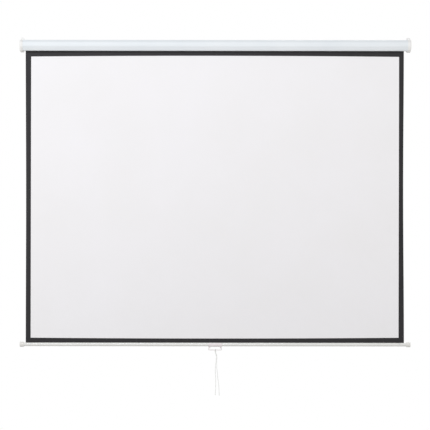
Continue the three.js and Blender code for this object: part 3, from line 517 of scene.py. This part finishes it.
turn = np.linspace(0, WRAPS * 2 * np.pi, WRAPS * 60)
spiral = ROLL_RADIUS - SHEET_THICKNESS * turn / (2 * np.pi)
ring = np.stack([np.cos(turn), np.sin(turn)], axis=1)
strip = np.concatenate([
    (spiral + HALF_STRIP)[:, None] * ring, ((spiral - HALF_STRIP)[:, None] * ring)[::-1]
]) + (ROLLER_Y, 0)
roll = piece(
    "wound_turns", along_x(strip, [TOP_SHIFT - HALF_WIDTH, TOP_SHIFT + HALF_WIDTH]), black_vinyl,
    "roller", "wound_sheet", ends=True,
)

# %% [markdown]
# ## The hem
#
# The sheet's foot is welded to a hem, which drops through the slit of the bar and loops round a
# rod inside it. The weld is a flat band with two fine lines pressed in it.

# %% Hem
BAR_Z = centre("hem_rod")[2]
HEM_TOP = -1.5915
HEM_LOOP = 4.3 * MM


def hem_outline():
    """Half the hem's thickness at each height, down its front and up its back, then a ring."""
    z = HEM_TOP - np.array([0, 0, 1, 1.5, 2, 8.5, 9, 9.5, 18.5]) * MM
    z = np.append(z, BAR_Z + 5.0 * MM)
    half = np.array([0.05, 0.40, 0.45, 0.33, 0.45, 0.45, 0.33, 0.45, 0.45, 0.30]) * MM
    angle = np.radians(np.linspace(94, 446, 49))
    loop = np.stack([HEM_LOOP * np.cos(angle), BAR_Z + HEM_LOOP * np.sin(angle)], axis=1)
    front, back = np.stack([-half, z], axis=1), np.stack([half, z], axis=1)[::-1]
    return np.concatenate([front, loop, back]) + (SHEET_Y, 0)


hem = piece(
    "sheet_hem", along_x(hem_outline(), [FOOT_SHIFT - HALF_WIDTH, FOOT_SHIFT + HALF_WIDTH]),
    black_vinyl, "bar", "bottom_hem", ends=True,
)

# %% [markdown]
# ## Sections with rounded corners
#
# The case, its caps and its feet are all made from outlines with rounded corners. Each corner is
# rounded by a quadratic curve: it starts a radius before the corner, ends a radius after it, and
# is pulled towards the corner in between.


# %% Outlines
def rounded(corners, radii, steps=6, closed=True):
    """(1-t)^2 A + 2t(1-t) C + t^2 B for each corner C, with A and B a radius away along the two
    edges. An open outline keeps its two end points as they are."""
    corners = np.asarray(corners, float)
    radii = np.broadcast_to(np.asarray(radii, float), len(corners))[:, None]
    before, after = np.roll(corners, 1, axis=0) - corners, np.roll(corners, -1, axis=0) - corners
    a = corners + radii * before / np.linalg.norm(before, axis=1, keepdims=True)
    b = corners + radii * after / np.linalg.norm(after, axis=1, keepdims=True)
    t = np.linspace(0, 1, steps + 1)[None, :, None]
    curve = (1 - t) ** 2 * a[:, None] + 2 * t * (1 - t) * corners[:, None] + t**2 * b[:, None]
    if closed:
        return curve.reshape(-1, 2)
    return np.concatenate([corners[:1], curve[1:-1].reshape(-1, 2), corners[-1:]])


def moved_out(corners, distance):
    """Each corner moves by the sum of its two edges' outward normals, over 1 + their product."""
    corners = np.asarray(corners, float)
    along = np.roll(corners, -1, axis=0) - corners
    along /= np.linalg.norm(along, axis=1, keepdims=True)
    after = np.stack([along[:, 1], -along[:, 0]], axis=1)
    before = np.roll(after, 1, axis=0)
    return corners + distance * (after + before) / (1 + (after * before).sum(1, keepdims=True))


# %% [markdown]
# ## The case
#
# The case is one strip of thin steel, rolled into a channel with three facets at the front and a
# slot underneath, whose edges turn up as stiffening lips. It is powder coated a cool white. Its
# section is drawn once, round the outside and back along the inside, and carried along the case.

# %% Case
case_low, case_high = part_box("case_housing")
HALF_HEIGHT = case_high.z
FRONT = case_low.y - ROLLER_Y
REAR = case_high.y - ROLLER_Y
CORNER = 5.0 * MM
WALL = 1.5 * MM
# Where the facets meet, as shares of the depth in front of the roller and of half the height.
SHOULDER, FACE_TOP, FACE_FOOT = 0.44, 0.52, -0.2
case_corners = np.array([
    (REAR, -HALF_HEIGHT), (REAR, HALF_HEIGHT), (SHOULDER * FRONT, HALF_HEIGHT),
    (FRONT, FACE_TOP * HALF_HEIGHT), (FRONT, FACE_FOOT * HALF_HEIGHT),
    (SHOULDER * FRONT, -HALF_HEIGHT),
]) + (ROLLER_Y, 0)
powder_coat = finish(
    "cool_white_powder_coat", ("#e6ebef", "#ecf0f3"), 260, 2.5, 0.02, (0.38, 0.46),
    {"IOR": 1.5, "Specular IOR Level": 0.45},
)


def case_section():
    """Outside from the slot's rear edge round to its front edge, then the lips and the inside."""
    half_slot, lip_height = 4.5 * MM, 5.5 * MM
    rear, front = SHEET_Y + half_slot, SHEET_Y - half_slot
    lip_top, base = -HALF_HEIGHT + lip_height, -HALF_HEIGHT + WALL
    inner = moved_out(case_corners, -WALL)
    corners = [
        (rear, -HALF_HEIGHT), *case_corners, (front, -HALF_HEIGHT),
        (front, lip_top), (front - WALL, lip_top), (front - WALL, base),
        *inner[::-1],
        (rear + WALL, base), (rear + WALL, lip_top), (rear, lip_top),
    ]
    outside, inside, lip = [CORNER / MM] * 6, [(CORNER - WALL) / MM] * 6, [0.6, 0.6]
    radii = [0.7, *outside, 0.7, *lip, 0.8, *inside, 0.8, *lip]
    return rounded(corners, np.array(radii) * MM, steps=8)


piece(
    "case_shell", along_x(case_section(), [case_low.x, case_high.x]), powder_coat, "case",
    "case_housing", ends=True, sharp=50,
)

# %% [markdown]
# ## The end caps
#
# Each cap is moulded from off-white plastic. It closes the case with a soft domed end, a
# millimetre proud all round. A flat strip behind it lies on the wall: above the case it is a tab
# with an eye for the wall screw, and below the case it carries a foot, where the bar comes to
# rest on a rubber pad.
#
# The dome is the case's own outline at several places along X, drawn in more and more, like the
# steps of a quarter circle. The last rows shrink to a point and crown the face very slightly.


# %% Cap shapes
HALF_TAB = 11.0 * MM


def loft(outlines):
    """Stacks outlines of (x, y, z), repeats each one's first point, and ends in two poles."""
    rows = np.asarray(outlines, float)
    rows = np.concatenate([rows, rows[:, :1]], axis=1)
    poles = [np.broadcast_to(rows[i, :-1].mean(axis=0), rows[:1].shape) for i in (0, -1)]
    return np.concatenate([poles[0], rows, poles[1]])


def at_x(outline, x):
    return np.column_stack([np.full(len(outline), x), outline])


def at_z(outline, z):
    return np.column_stack([outline, np.full(len(outline), z)])


def cap_dome(side, inner_x, outer_x):
    """The outline moved out by 1 mm less a quarter circle's drop, with a crown on the end face."""
    dome, crown = 4.0 * MM, 0.5 * MM
    angle = np.radians(np.linspace(0, 84, 9))
    places = [(inner_x, 0.3 * MM), (inner_x, 0.7 * MM), (inner_x + 0.4 * MM, 1.0 * MM)]
    places += list(zip(outer_x - dome + dome * np.sin(angle), MM - dome * (1 - np.cos(angle))))
    rows = [
        at_x(rounded(moved_out(case_corners, d), max(CORNER + d, 1.5 * MM), 8), side * x)
        for x, d in places
    ]
    face = rows[-1]
    middle = face.mean(axis=0)
    for share in (0.85, 0.6, 0.35, 0.12):
        ring = middle + share * (face - middle)
        ring[:, 0] = side * (outer_x + crown * (1 - share**2))
        rows.append(ring)
    return loft(rows)


def wall_tab(side, centre_x, low, high):
    """A ring between an eye and a tall outline round it: each point of the outline is joined to
    the eye along its own ray, and the section is a flat bar with softened edges."""
    depth, soft = 4.7 * MM, 0.5 * MM
    eye_z, eye = 36.5 * MM, 3.3 * MM
    corners = [(-HALF_TAB, low), (HALF_TAB, low), (HALF_TAB, high), (-HALF_TAB, high)]
    outline = rounded(corners, np.array([1.0, 1.0, 7.5, 7.5]) * MM, 10)
    ends = np.roll(outline, -1, axis=0)
    share = np.linspace(0, 1, 7)[:-1, None]
    outline = (outline[:, None] * (1 - share) + ends[:, None] * share).reshape(-1, 2)
    ray = outline - (0, eye_z)
    reach = np.linalg.norm(ray, axis=1, keepdims=True)
    ray = ray / reach
    # Each step: 0 at the eye or 1 at the outline, millimetres outwards, and how much it is eased.
    steps = [(0, 0, 1), (0, 0.4, 0.05), (0, 1.2, 0), (1, -1.5, 0), (1, -0.5, 0.05), (1, 0, 1)]
    front = [(outer, shift * MM, -depth + ease * soft) for outer, shift, ease in steps]
    back = [(outer, shift * MM, -ease * 0.1 * MM) for outer, shift, ease in steps[::-1]]
    rows = []
    for outer, shift, y in [*front, *back, front[0]]:
        xz = (reach * ray if outer else eye * ray) + shift * ray + (0, eye_z)
        rows.append(np.column_stack([side * centre_x + xz[:, 0], np.full(len(xz), y), xz[:, 1]]))
    rows = np.array(rows)
    return np.concatenate([rows, rows[:, :1]], axis=1)


def slab(x_range, y_range, z_range, corner, edge):
    """A block with rounded upright corners. Near its top and bottom it draws in by shares of
    edge."""
    (x0, x1), (y0, y1), (z0, z1) = x_range, y_range, z_range
    corners = [(x0, y0), (x1, y0), (x1, y1), (x0, y1)]
    heights = [(z0, 0.9), (z0 + 0.35 * edge, 0.35), (z0 + edge, 0), (z1 - edge, 0),
               (z1 - 0.35 * edge, 0.35), (z1, 0.9)]
    return loft([
        at_z(rounded(moved_out(corners, -share * edge), corner), z) for z, share in heights
    ])


# %% [markdown]
# Off-white ABS comes out of the mould with a fine spark texture. It is drawn at 1.5 mm, a few
# times coarser than real, so that it can show in a close view.

# %% Caps, feet and pads
SIDES = ((-1, "left"), (1, "right"))
LEVELS = ("lower", "upper")
warm_abs = finish(
    "warm_white_moulded_abs", ("#edecea", "#f4f3f1"), 30, 1.5, 0.03, (0.45, 0.6),
    {"IOR": 1.54},
)
grey_rubber = finish(
    "light_grey_rubber", ("#bdbdbb", "#cbcbc8"), 10, 1.0, 0.05, (0.8, 0.95), {"IOR": 1.52}
)


def cut_away(made, cutters):
    """Subtracts closed grids from a piece and keeps the result as its mesh."""
    for grid in cutters:
        cutter = piece("cutter", grid, made.data.materials[0], None)
        boolean = made.modifiers.new("cut", "BOOLEAN")
        boolean.object, boolean.solver = cutter, "EXACT"
        shapes = bpy.context.evaluated_depsgraph_get()
        result = bpy.data.meshes.new_from_object(made.evaluated_get(shapes))
        made.modifiers.clear()
        made.data = result
        bpy.data.objects.remove(cutter)
    made.data.shade_smooth()
    made.data.set_sharp_from_angle(angle=np.radians(40))


def turned(profile, sides=64):
    """A profile of (x, radius) turned about the X axis, from pole to pole."""
    profile = np.asarray(profile, float)
    angle = np.linspace(0, 2 * np.pi, sides + 1)
    x, r = profile[:, :1], profile[:, 1:]
    x = np.broadcast_to(x, (len(x), sides + 1))
    return np.stack([x, r * np.cos(angle), r * np.sin(angle)], axis=-1)


cap_low, cap_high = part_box("end_cap_right")
STRIP_X = centre("stop_pad_right")[0]
screw_z = [centre(f"cap_screw_right_{level}")[2] for level in LEVELS]
recess_floor, recess_mouth, recess_radius = cap_high.x - 2.5 * MM, cap_high.x + 5 * MM, 3.8 * MM
for side, word in SIDES:
    cap = piece(
        f"cap_dome_{word}", cap_dome(side, case_high.x, cap_high.x), warm_abs, "case",
        f"end_cap_{word}",
    )
    recess = turned([
        (side * recess_floor, 0), (side * recess_floor, recess_radius),
        (side * recess_mouth, recess_radius), (side * recess_mouth, 0),
    ], 48)
    cut_away(cap, [recess + (0, ROLLER_Y, z) for z in screw_z])
    piece(
        f"wall_tab_{word}", wall_tab(side, STRIP_X, cap_low.z, cap_high.z), warm_abs, "case",
    )
    foot_x = (side * STRIP_X - HALF_TAB, side * STRIP_X + HALF_TAB)
    foot_y = (-30 * MM, -0.5 * MM)
    foot_z = (cap_low.z, -HALF_HEIGHT - 0.2 * MM)
    piece(
        f"cap_foot_{word}", slab(foot_x, foot_y, foot_z, corner=3 * MM, edge=0.6 * MM), warm_abs,
        "case",
    )
    pad = slab(*zip(*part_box(f"stop_pad_{word}")), corner=2 * MM, edge=0.3 * MM)
    piece(f"rubber_pad_{word}", pad, grey_rubber, "case", f"stop_pad_{word}")

# %% [markdown]
# ## Screws
#
# Two zinc plated screws hold each cap, and one holds the hem rod near each end of the bar. A pan
# head is turned from a profile. Its cross recess is a dip in the top: deep where a point lies
# close to either arm of the cross, and level elsewhere.

# %% Screws
zinc_plate = finish(
    "zinc_plated_steel", ("#b4b7bb", "#c6c9cc"), 8, 0.6, 0.01, (0.28, 0.42), {"Metallic": 1.0}
)


def screw(head, height, shank, length, arm):
    """A screw along X with its top at x = 0. Top rings crown by a power of their radius, and the
    recess drops them where the smaller of |y|, |z| is under the arm's half width."""
    rings = 15
    top = [(-0.35 * height * (r / head) ** 2.4, r) for r in np.linspace(0, 1, rings) * head * 0.96]
    body = [(-0.5 * height, head), (-height, head), (-height, shank), (-length + shank, shank),
            (-length, 0.3 * shank), (-length, 0)]
    grid = turned([*top, *body], 72)
    y, z = np.abs(grid[:rings, :, 1]), np.abs(grid[:rings, :, 2])
    inside = np.clip((arm - np.minimum(y, z)) / (0.3 * arm), 0, 1)
    inside = inside * np.clip((0.62 * head - np.maximum(y, z)) / (0.15 * head), 0, 1)
    grid[:rings, :, 0] -= 0.6 * height * inside
    return grid


def pointed(grid, direction, place):
    """Turns a shape drawn along X to another direction and moves it to its place."""
    along = np.asarray(direction, float) / np.linalg.norm(direction)
    second = np.cross((0, 0, 1), along) if abs(along[2]) < 0.9 else np.cross((0, 1, 0), along)
    second /= np.linalg.norm(second)
    return grid @ np.array([along, second, np.cross(along, second)]) + place


BAR_RADIUS = 10 * MM
cap_screw = screw(head=3.5 * MM, height=2.2 * MM, shank=1.75 * MM, length=12.3 * MM, arm=0.5 * MM)
bar_screw = screw(head=2.4 * MM, height=1.1 * MM, shank=1.4 * MM, length=6.8 * MM, arm=0.35 * MM)
# The bar's screws point 22 degrees up from straight ahead, and stand 1.4 mm off the tube.
tilt = np.radians(22)
out = np.array([0, -np.cos(tilt), np.sin(tilt)])
for side, word in SIDES:
    for level, z in zip(LEVELS, screw_z):
        grid = pointed(cap_screw, (side, 0, 0), (side * cap_high.x, ROLLER_Y, z))
        piece(
            f"cap_screw_head_{word}_{level}", grid, zinc_plate, "case",
            f"cap_screw_{word}_{level}", sharp=30,
        )
    spot = (BAR_RADIUS + 1.4 * MM) * out + (side * (HALF_WIDTH - 25 * MM), SHEET_Y, BAR_Z)
    piece(
        f"bar_screw_head_{word}", pointed(bar_screw, out, spot), zinc_plate, "bar",
        f"bar_screw_{word}", sharp=30,
    )

# %% [markdown]
# ## The weight bar
#
# The bar is a steel tube, painted white, with a slit along its top for the hem. Its section is an
# open ring: an outer arc, a round lip, the inner arc back, and the other lip. Turned plastic
# caps close its ends. They are thicker than the bar, because they are what meets the pads.


# %% Bar
def open_ring(outer, inner, half_opening, steps):
    """Arcs of two radii from one side of the opening at the top round to the other, joined by
    half circles as wide as the wall."""
    middle, lip = (outer + inner) / 2, (outer - inner) / 2
    gap = half_opening + lip / middle
    arc = np.linspace(np.pi / 2 + gap, 5 * np.pi / 2 - gap, steps)
    turn_back = np.linspace(0, np.pi, 9)[1:-1]

    def lip_points(angle, sign):
        radial = np.array([np.cos(angle), np.sin(angle)])
        tangent = np.array([-np.sin(angle), np.cos(angle)]) * sign
        half_circle = np.cos(turn_back)[:, None] * radial + np.sin(turn_back)[:, None] * tangent
        return middle * radial + lip * sign * half_circle

    ring = np.stack([np.cos(arc), np.sin(arc)], axis=1)
    return np.concatenate([
        outer * ring, lip_points(arc[-1], 1), inner * ring[::-1], lip_points(arc[0], -1)
    ])


painted_tube = finish(
    "white_enamelled_tube", ("#e9e8e4", "#eeede9"), 180, 2.0, 0.01, (0.2, 0.28),
    {"IOR": 1.52, "Coat Weight": 1.0, "Coat Roughness": 0.12},
)
bar_low, bar_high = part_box("weight_bar")
BAR_WALL, HALF_SLIT = 1.2 * MM, 1.5 * MM
half_opening = np.arcsin(HALF_SLIT / BAR_RADIUS)
bar_section = open_ring(BAR_RADIUS, BAR_RADIUS - BAR_WALL, half_opening, 73) + (SHEET_Y, BAR_Z)
piece(
    "bar_tube", along_x(bar_section, [bar_low.x, bar_high.x]), painted_tube, "bar", "weight_bar",
    ends=True,
)
beige_abs = finish(
    "beige_white_moulded_abs", ("#e9e7e2", "#f0eeea"), 20, 1.5, 0.03, (0.4, 0.55), {"IOR": 1.54}
)
edge = np.radians(np.linspace(0, 84, 9))
# The profile of a cap in millimetres: x from the end that meets the bar, and radius.
cap_profile = np.array([
    (0, 0), (0, 10.4), (0, 13.2), (0.15, 13.6), (0.5, 13.75), (2.6, 13.75), (2.8, 13.45),
    (3.4, 13.45), (3.6, 13.75), (19.4, 13.75),
    *zip(19.5 + 3 * np.sin(edge), 10.75 + 3 * np.cos(edge)), (22.55, 9.0), (22.8, 5.0), (22.85, 0),
]) * MM
for side, word in SIDES:
    grid = turned(cap_profile) + (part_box("bar_end_cap_right")[0].x, SHEET_Y, BAR_Z)
    grid[..., 0] *= side
    piece(
        f"bar_cap_{word}", grid, beige_abs, "bar", f"bar_end_cap_{word}", sharp=50
    )

# %% [markdown]
# ## The handle
#
# A sleeve of the same open ring grips the bar at mid-length. Two ears under it hold the ends of a
# bent rod: the loop that a hand or a hooked pole pulls. The cord is hitched near its middle.

# %% Sleeve and ears
handle_abs = finish(
    "rosy_white_moulded_abs", ("#f0e7e7", "#f5eeee"), 16, 1.5, 0.03, (0.4, 0.55), {"IOR": 1.54}
)
PIVOT_Z = joints["handle_swing"]["pos_m"][2]
# From a shallow waist out to a rounded rim: millimetres from the middle, and how far it draws in.
rim = [(32.2, 0.35), (32.5, 0), (35.9, 0), (36.35, 0.25), (36.5, 0.7)]
sleeve_rows = []
for x, inset in [(-x, inset) for x, inset in rim[::-1]] + rim:
    outline = open_ring((12.8 - inset) * MM, (10.3 + 0.5 * inset) * MM, np.radians(44), 61)
    sleeve_rows.append(at_x(outline + (SHEET_Y, BAR_Z), x * MM))
sleeve = np.array(sleeve_rows)
sleeve = np.concatenate([sleeve, sleeve[:, :1]], axis=1)


def ear(x0, x1):
    """A tongue: a half circle round the pivot with straight sides up into the sleeve. It shrinks
    a little towards both faces."""
    radius, top = 4.8 * MM, 4.5 * MM
    angle = np.radians(np.linspace(180, 360, 25))
    round_part = radius * np.stack([np.cos(angle), np.sin(angle)], axis=1)
    outline = np.concatenate([round_part, [(radius, top), (-radius, top)]])
    steps = [(0, 0.86), (0.2 * MM, 0.95), (0.6 * MM, 1)]
    places = [(x0 + d, share) for d, share in steps]
    places += [(x1 - d, share) for d, share in steps[::-1]]
    return loft([at_x(outline * share + (SHEET_Y, PIVOT_Z), x) for x, share in places])


piece(
    "handle_grip", [sleeve, ear(-31 * MM, -26.5 * MM), ear(26.5 * MM, 31 * MM)], handle_abs, "bar",
    "handle_sleeve", ends=True,
)

# %% Loop
LEG_X, PIN_X, DROP = 34.3 * MM, 26.2 * MM, -14.0 * MM
bends = np.array([0, 3, 4.5, 0]) * MM
half_loop = rounded([(PIN_X, 0), (LEG_X, 0), (LEG_X, DROP), (0, DROP)], bends, 10, closed=False)
loop_line = np.concatenate([half_loop, (half_loop * (-1, 1))[::-1][1:]])
loop_path = at_z(loop_line, SHEET_Y)[:, [0, 2, 1]] + (0, 0, PIVOT_Z)
grid = tube(loop_path, ROD_RADIUS, 24, (0, 1, 0))
piece("loop_rod", grid, handle_abs, "handle", "pull_loop")
print("loop rod", round(length_of(loop_path), 4), "m")

# %% [markdown]
# ## What the case hides
#
# Roller, spring, ratchet and brackets stay as the solids draw them. They show only from below,
# through the slot, or when the case is taken off, and each gets the finish of its real material.

# %% Inner parts
spring_steel = finish(
    "oiled_spring_steel", ("#5f6265", "#74777a"), 10, 0.8, 0.02, (0.35, 0.5), {"Metallic": 1.0}
)
drawn_steel = finish(
    "drawn_zinc_steel", ("#aeb1b5", "#bfc2c5"), 60, 0.8, 0.01, (0.3, 0.42), {"Metallic": 1.0},
    stretch=(0.03, 1, 1),
)
grey_plastic = finish(
    "grey_polypropylene", ("#85888b", "#94979a"), 20, 1.2, 0.03, (0.5, 0.65), {"IOR": 1.49}
)
natural_nylon = finish(
    "natural_nylon", ("#dfdbce", "#e9e5d9"), 12, 1.0, 0.02, (0.4, 0.55), {"IOR": 1.53}
)
inner_finish = {
    drawn_steel: ["roller_bracket_left", "roller_bracket_right", "spindle", "roller_tube",
                  "idle_pin", "pawl_pin_a", "pawl_pin_b"],
    spring_steel: ["ratchet_wheel", "torsion_spring", "pawl_a", "pawl_b"],
    grey_plastic: ["spring_anchor", "spring_plug", "idle_plug", "fabric_spline", "hem_rod"],
    natural_nylon: ["idle_bush", "plug_bush"],
}
for material, names in inner_finish.items():
    for name in names:
        frame["nodes"][name].material_slots[0].material = material
shown = [name for name, node in frame["nodes"].items() if not node.hide_render]
print("solids still shown:", shown)

# %% [markdown]
# ## Light and background
#
# The photograph is cut out on white. Its light is soft, comes mostly from the front, and fades
# towards the lower right. An almost white world gives most of it: brightest at eye level, dimmer
# and a little warmer below, and dimmest above, so that the case's slanted faces and the bar's
# underside fall into shade. The camera, gloss and glass see plain white there instead.
#
# A wide, cool lamp above and to the left adds the slope across the sheet and the highlight on the
# bar, and a weak one far to the left the sheen on the curled border. A third stands behind for
# views of the back.


# %% World
def as_seen(tree, unseen, seen):
    """One colour for a ray that comes from the camera, off gloss or through glass, and another
    for the rays that light the object. Inputs 0, 6 and 7 of the node are share and colours."""
    rays = add_node(tree, "ShaderNodeLightPath").outputs
    most = rays["Is Camera Ray"]
    for kind in ("Is Glossy Ray", "Is Transmission Ray"):
        most = add_node(tree, "ShaderNodeMath", {0: most, 1: rays[kind]}, operation="MAXIMUM")
        most = most.outputs["Value"]
    inputs = {0: most, 6: unseen, 7: seen}
    return add_node(tree, "ShaderNodeMix", inputs, data_type="RGBA").outputs[2]


world = bpy.data.worlds.new("studio")
bpy.context.scene.world = world
world.use_nodes = True
tree = world.node_tree
tree.nodes.clear()
direction = add_node(tree, "ShaderNodeTexCoord").outputs["Generated"]
upward = add_node(tree, "ShaderNodeSeparateXYZ", {"Vector": direction}).outputs["Z"]
height = add_node(tree, "ShaderNodeMapRange", {"Value": upward, "From Min": -1.0})
bands = add_node(tree, "ShaderNodeValToRGB", {"Fac": height.outputs["Result"]})
bands.color_ramp.elements.new(0.5)
levels = (0.71, (1.0, 0.985, 0.94)), (0.85, (1.0, 0.99, 0.975)), (0.50, (0.985, 0.99, 0.995))
for stop, (brightness, tint) in zip(bands.color_ramp.elements, levels):
    stop.color = (*[brightness * channel for channel in tint], 1)
colour = as_seen(tree, bands.outputs["Color"], (1, 1, 1, 1))
background = add_node(tree, "ShaderNodeBackground", {"Color": colour, "Strength": 1.0})
add_node(tree, "ShaderNodeOutputWorld", {"Surface": background.outputs["Background"]})


# %% Lamps
def area_lamp(name, place, target, width, height, power, colour=(1, 1, 1)):
    """A flat lamp that looks from its place at a target, with its long side level."""
    lamp = bpy.data.lights.new(name, "AREA")
    lamp.shape, lamp.size, lamp.size_y = "RECTANGLE", width, height
    lamp.energy, lamp.color = power, colour
    holder = bpy.data.objects.new(name, lamp)
    holder.location = place
    holder.rotation_mode = "QUATERNION"
    holder.rotation_quaternion = (Vector(target) - Vector(place)).to_track_quat("-Z", "Y")
    bpy.context.scene.collection.objects.link(holder)


area_lamp("key", (-1.3, -4.5, 1.6), (-0.3, 0, -0.8), 3.6, 0.7, 73, (0.88, 0.93, 1.0))
area_lamp("side", (-4.6, -4.0, -0.2), (0, 0, -0.7), 1.2, 1.2, 24)
area_lamp("rear", (1.5, 5.0, 1.0), (0, 0, -0.9), 2.5, 2.5, 100)

# %% [markdown]
# The floor is well below the bar, as under a screen on a wall. It is pale and matt. A lit floor
# that close would fill the shade under the bar, so it is darker to the rays that light the
# object, and pale to the camera, gloss and glass. It is a disc that turns transparent towards its
# rim, so that it runs out into the white.

# %% Floor
floor_finish = finish(
    "pale_studio_floor", ("#f2f2f2", "#f7f7f7"), 900, 20, 0.02, (0.8, 0.95),
    {"Specular IOR Level": 0.1},
)
floor_tree = floor_finish.node_tree
floor_shader = floor_tree.nodes["Principled BSDF"]
own_colour = floor_shader.inputs["Base Color"].links[0].from_socket
colour = as_seen(floor_tree, (0.45, 0.45, 0.45, 1), own_colour)
floor_tree.links.new(colour, floor_shader.inputs["Base Color"])
FLOOR_Z, FLOOR_RADIUS = -2.6, 3.2
place = add_node(floor_tree, "ShaderNodeTexCoord").outputs["Object"]
from_middle = add_node(
    floor_tree, "ShaderNodeVectorMath", {0: place, 1: (0, 0, FLOOR_Z)}, operation="DISTANCE"
).outputs["Value"]
solid_share = add_node(
    floor_tree, "ShaderNodeMapRange",
    {"Value": from_middle, "From Min": 1.2, "From Max": FLOOR_RADIUS, "To Min": 1.0, "To Max": 0.0},
    interpolation_type="SMOOTHSTEP",
)
floor_tree.links.new(solid_share.outputs["Result"], floor_shader.inputs["Alpha"])
angle = np.linspace(0, 2 * np.pi, 97)
rings = FLOOR_RADIUS * np.linspace(0, 1, 9)[:, None]
x, y = rings * np.cos(angle), rings * np.sin(angle)
disc = np.stack([x, y, np.full_like(x, FLOOR_Z)], axis=-1)
floor = piece("studio_floor", disc, floor_finish, None)
floor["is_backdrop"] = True
bpy.context.scene.view_settings.view_transform = "Standard"

# %% [markdown]
# ## The box of the finished model
#
# The dressed model has to stay as big as the solids, so both boxes are written down to compare.

# %% Size and finish
bpy.context.view_layer.update()
dressed_low, dressed_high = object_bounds()
for corner, solid, dressed in (("low", solid_low, dressed_low), ("high", solid_high, dressed_high)):
    print(corner, "corner moved by", [round((b - a) / MM, 2) for a, b in zip(solid, dressed)], "mm")
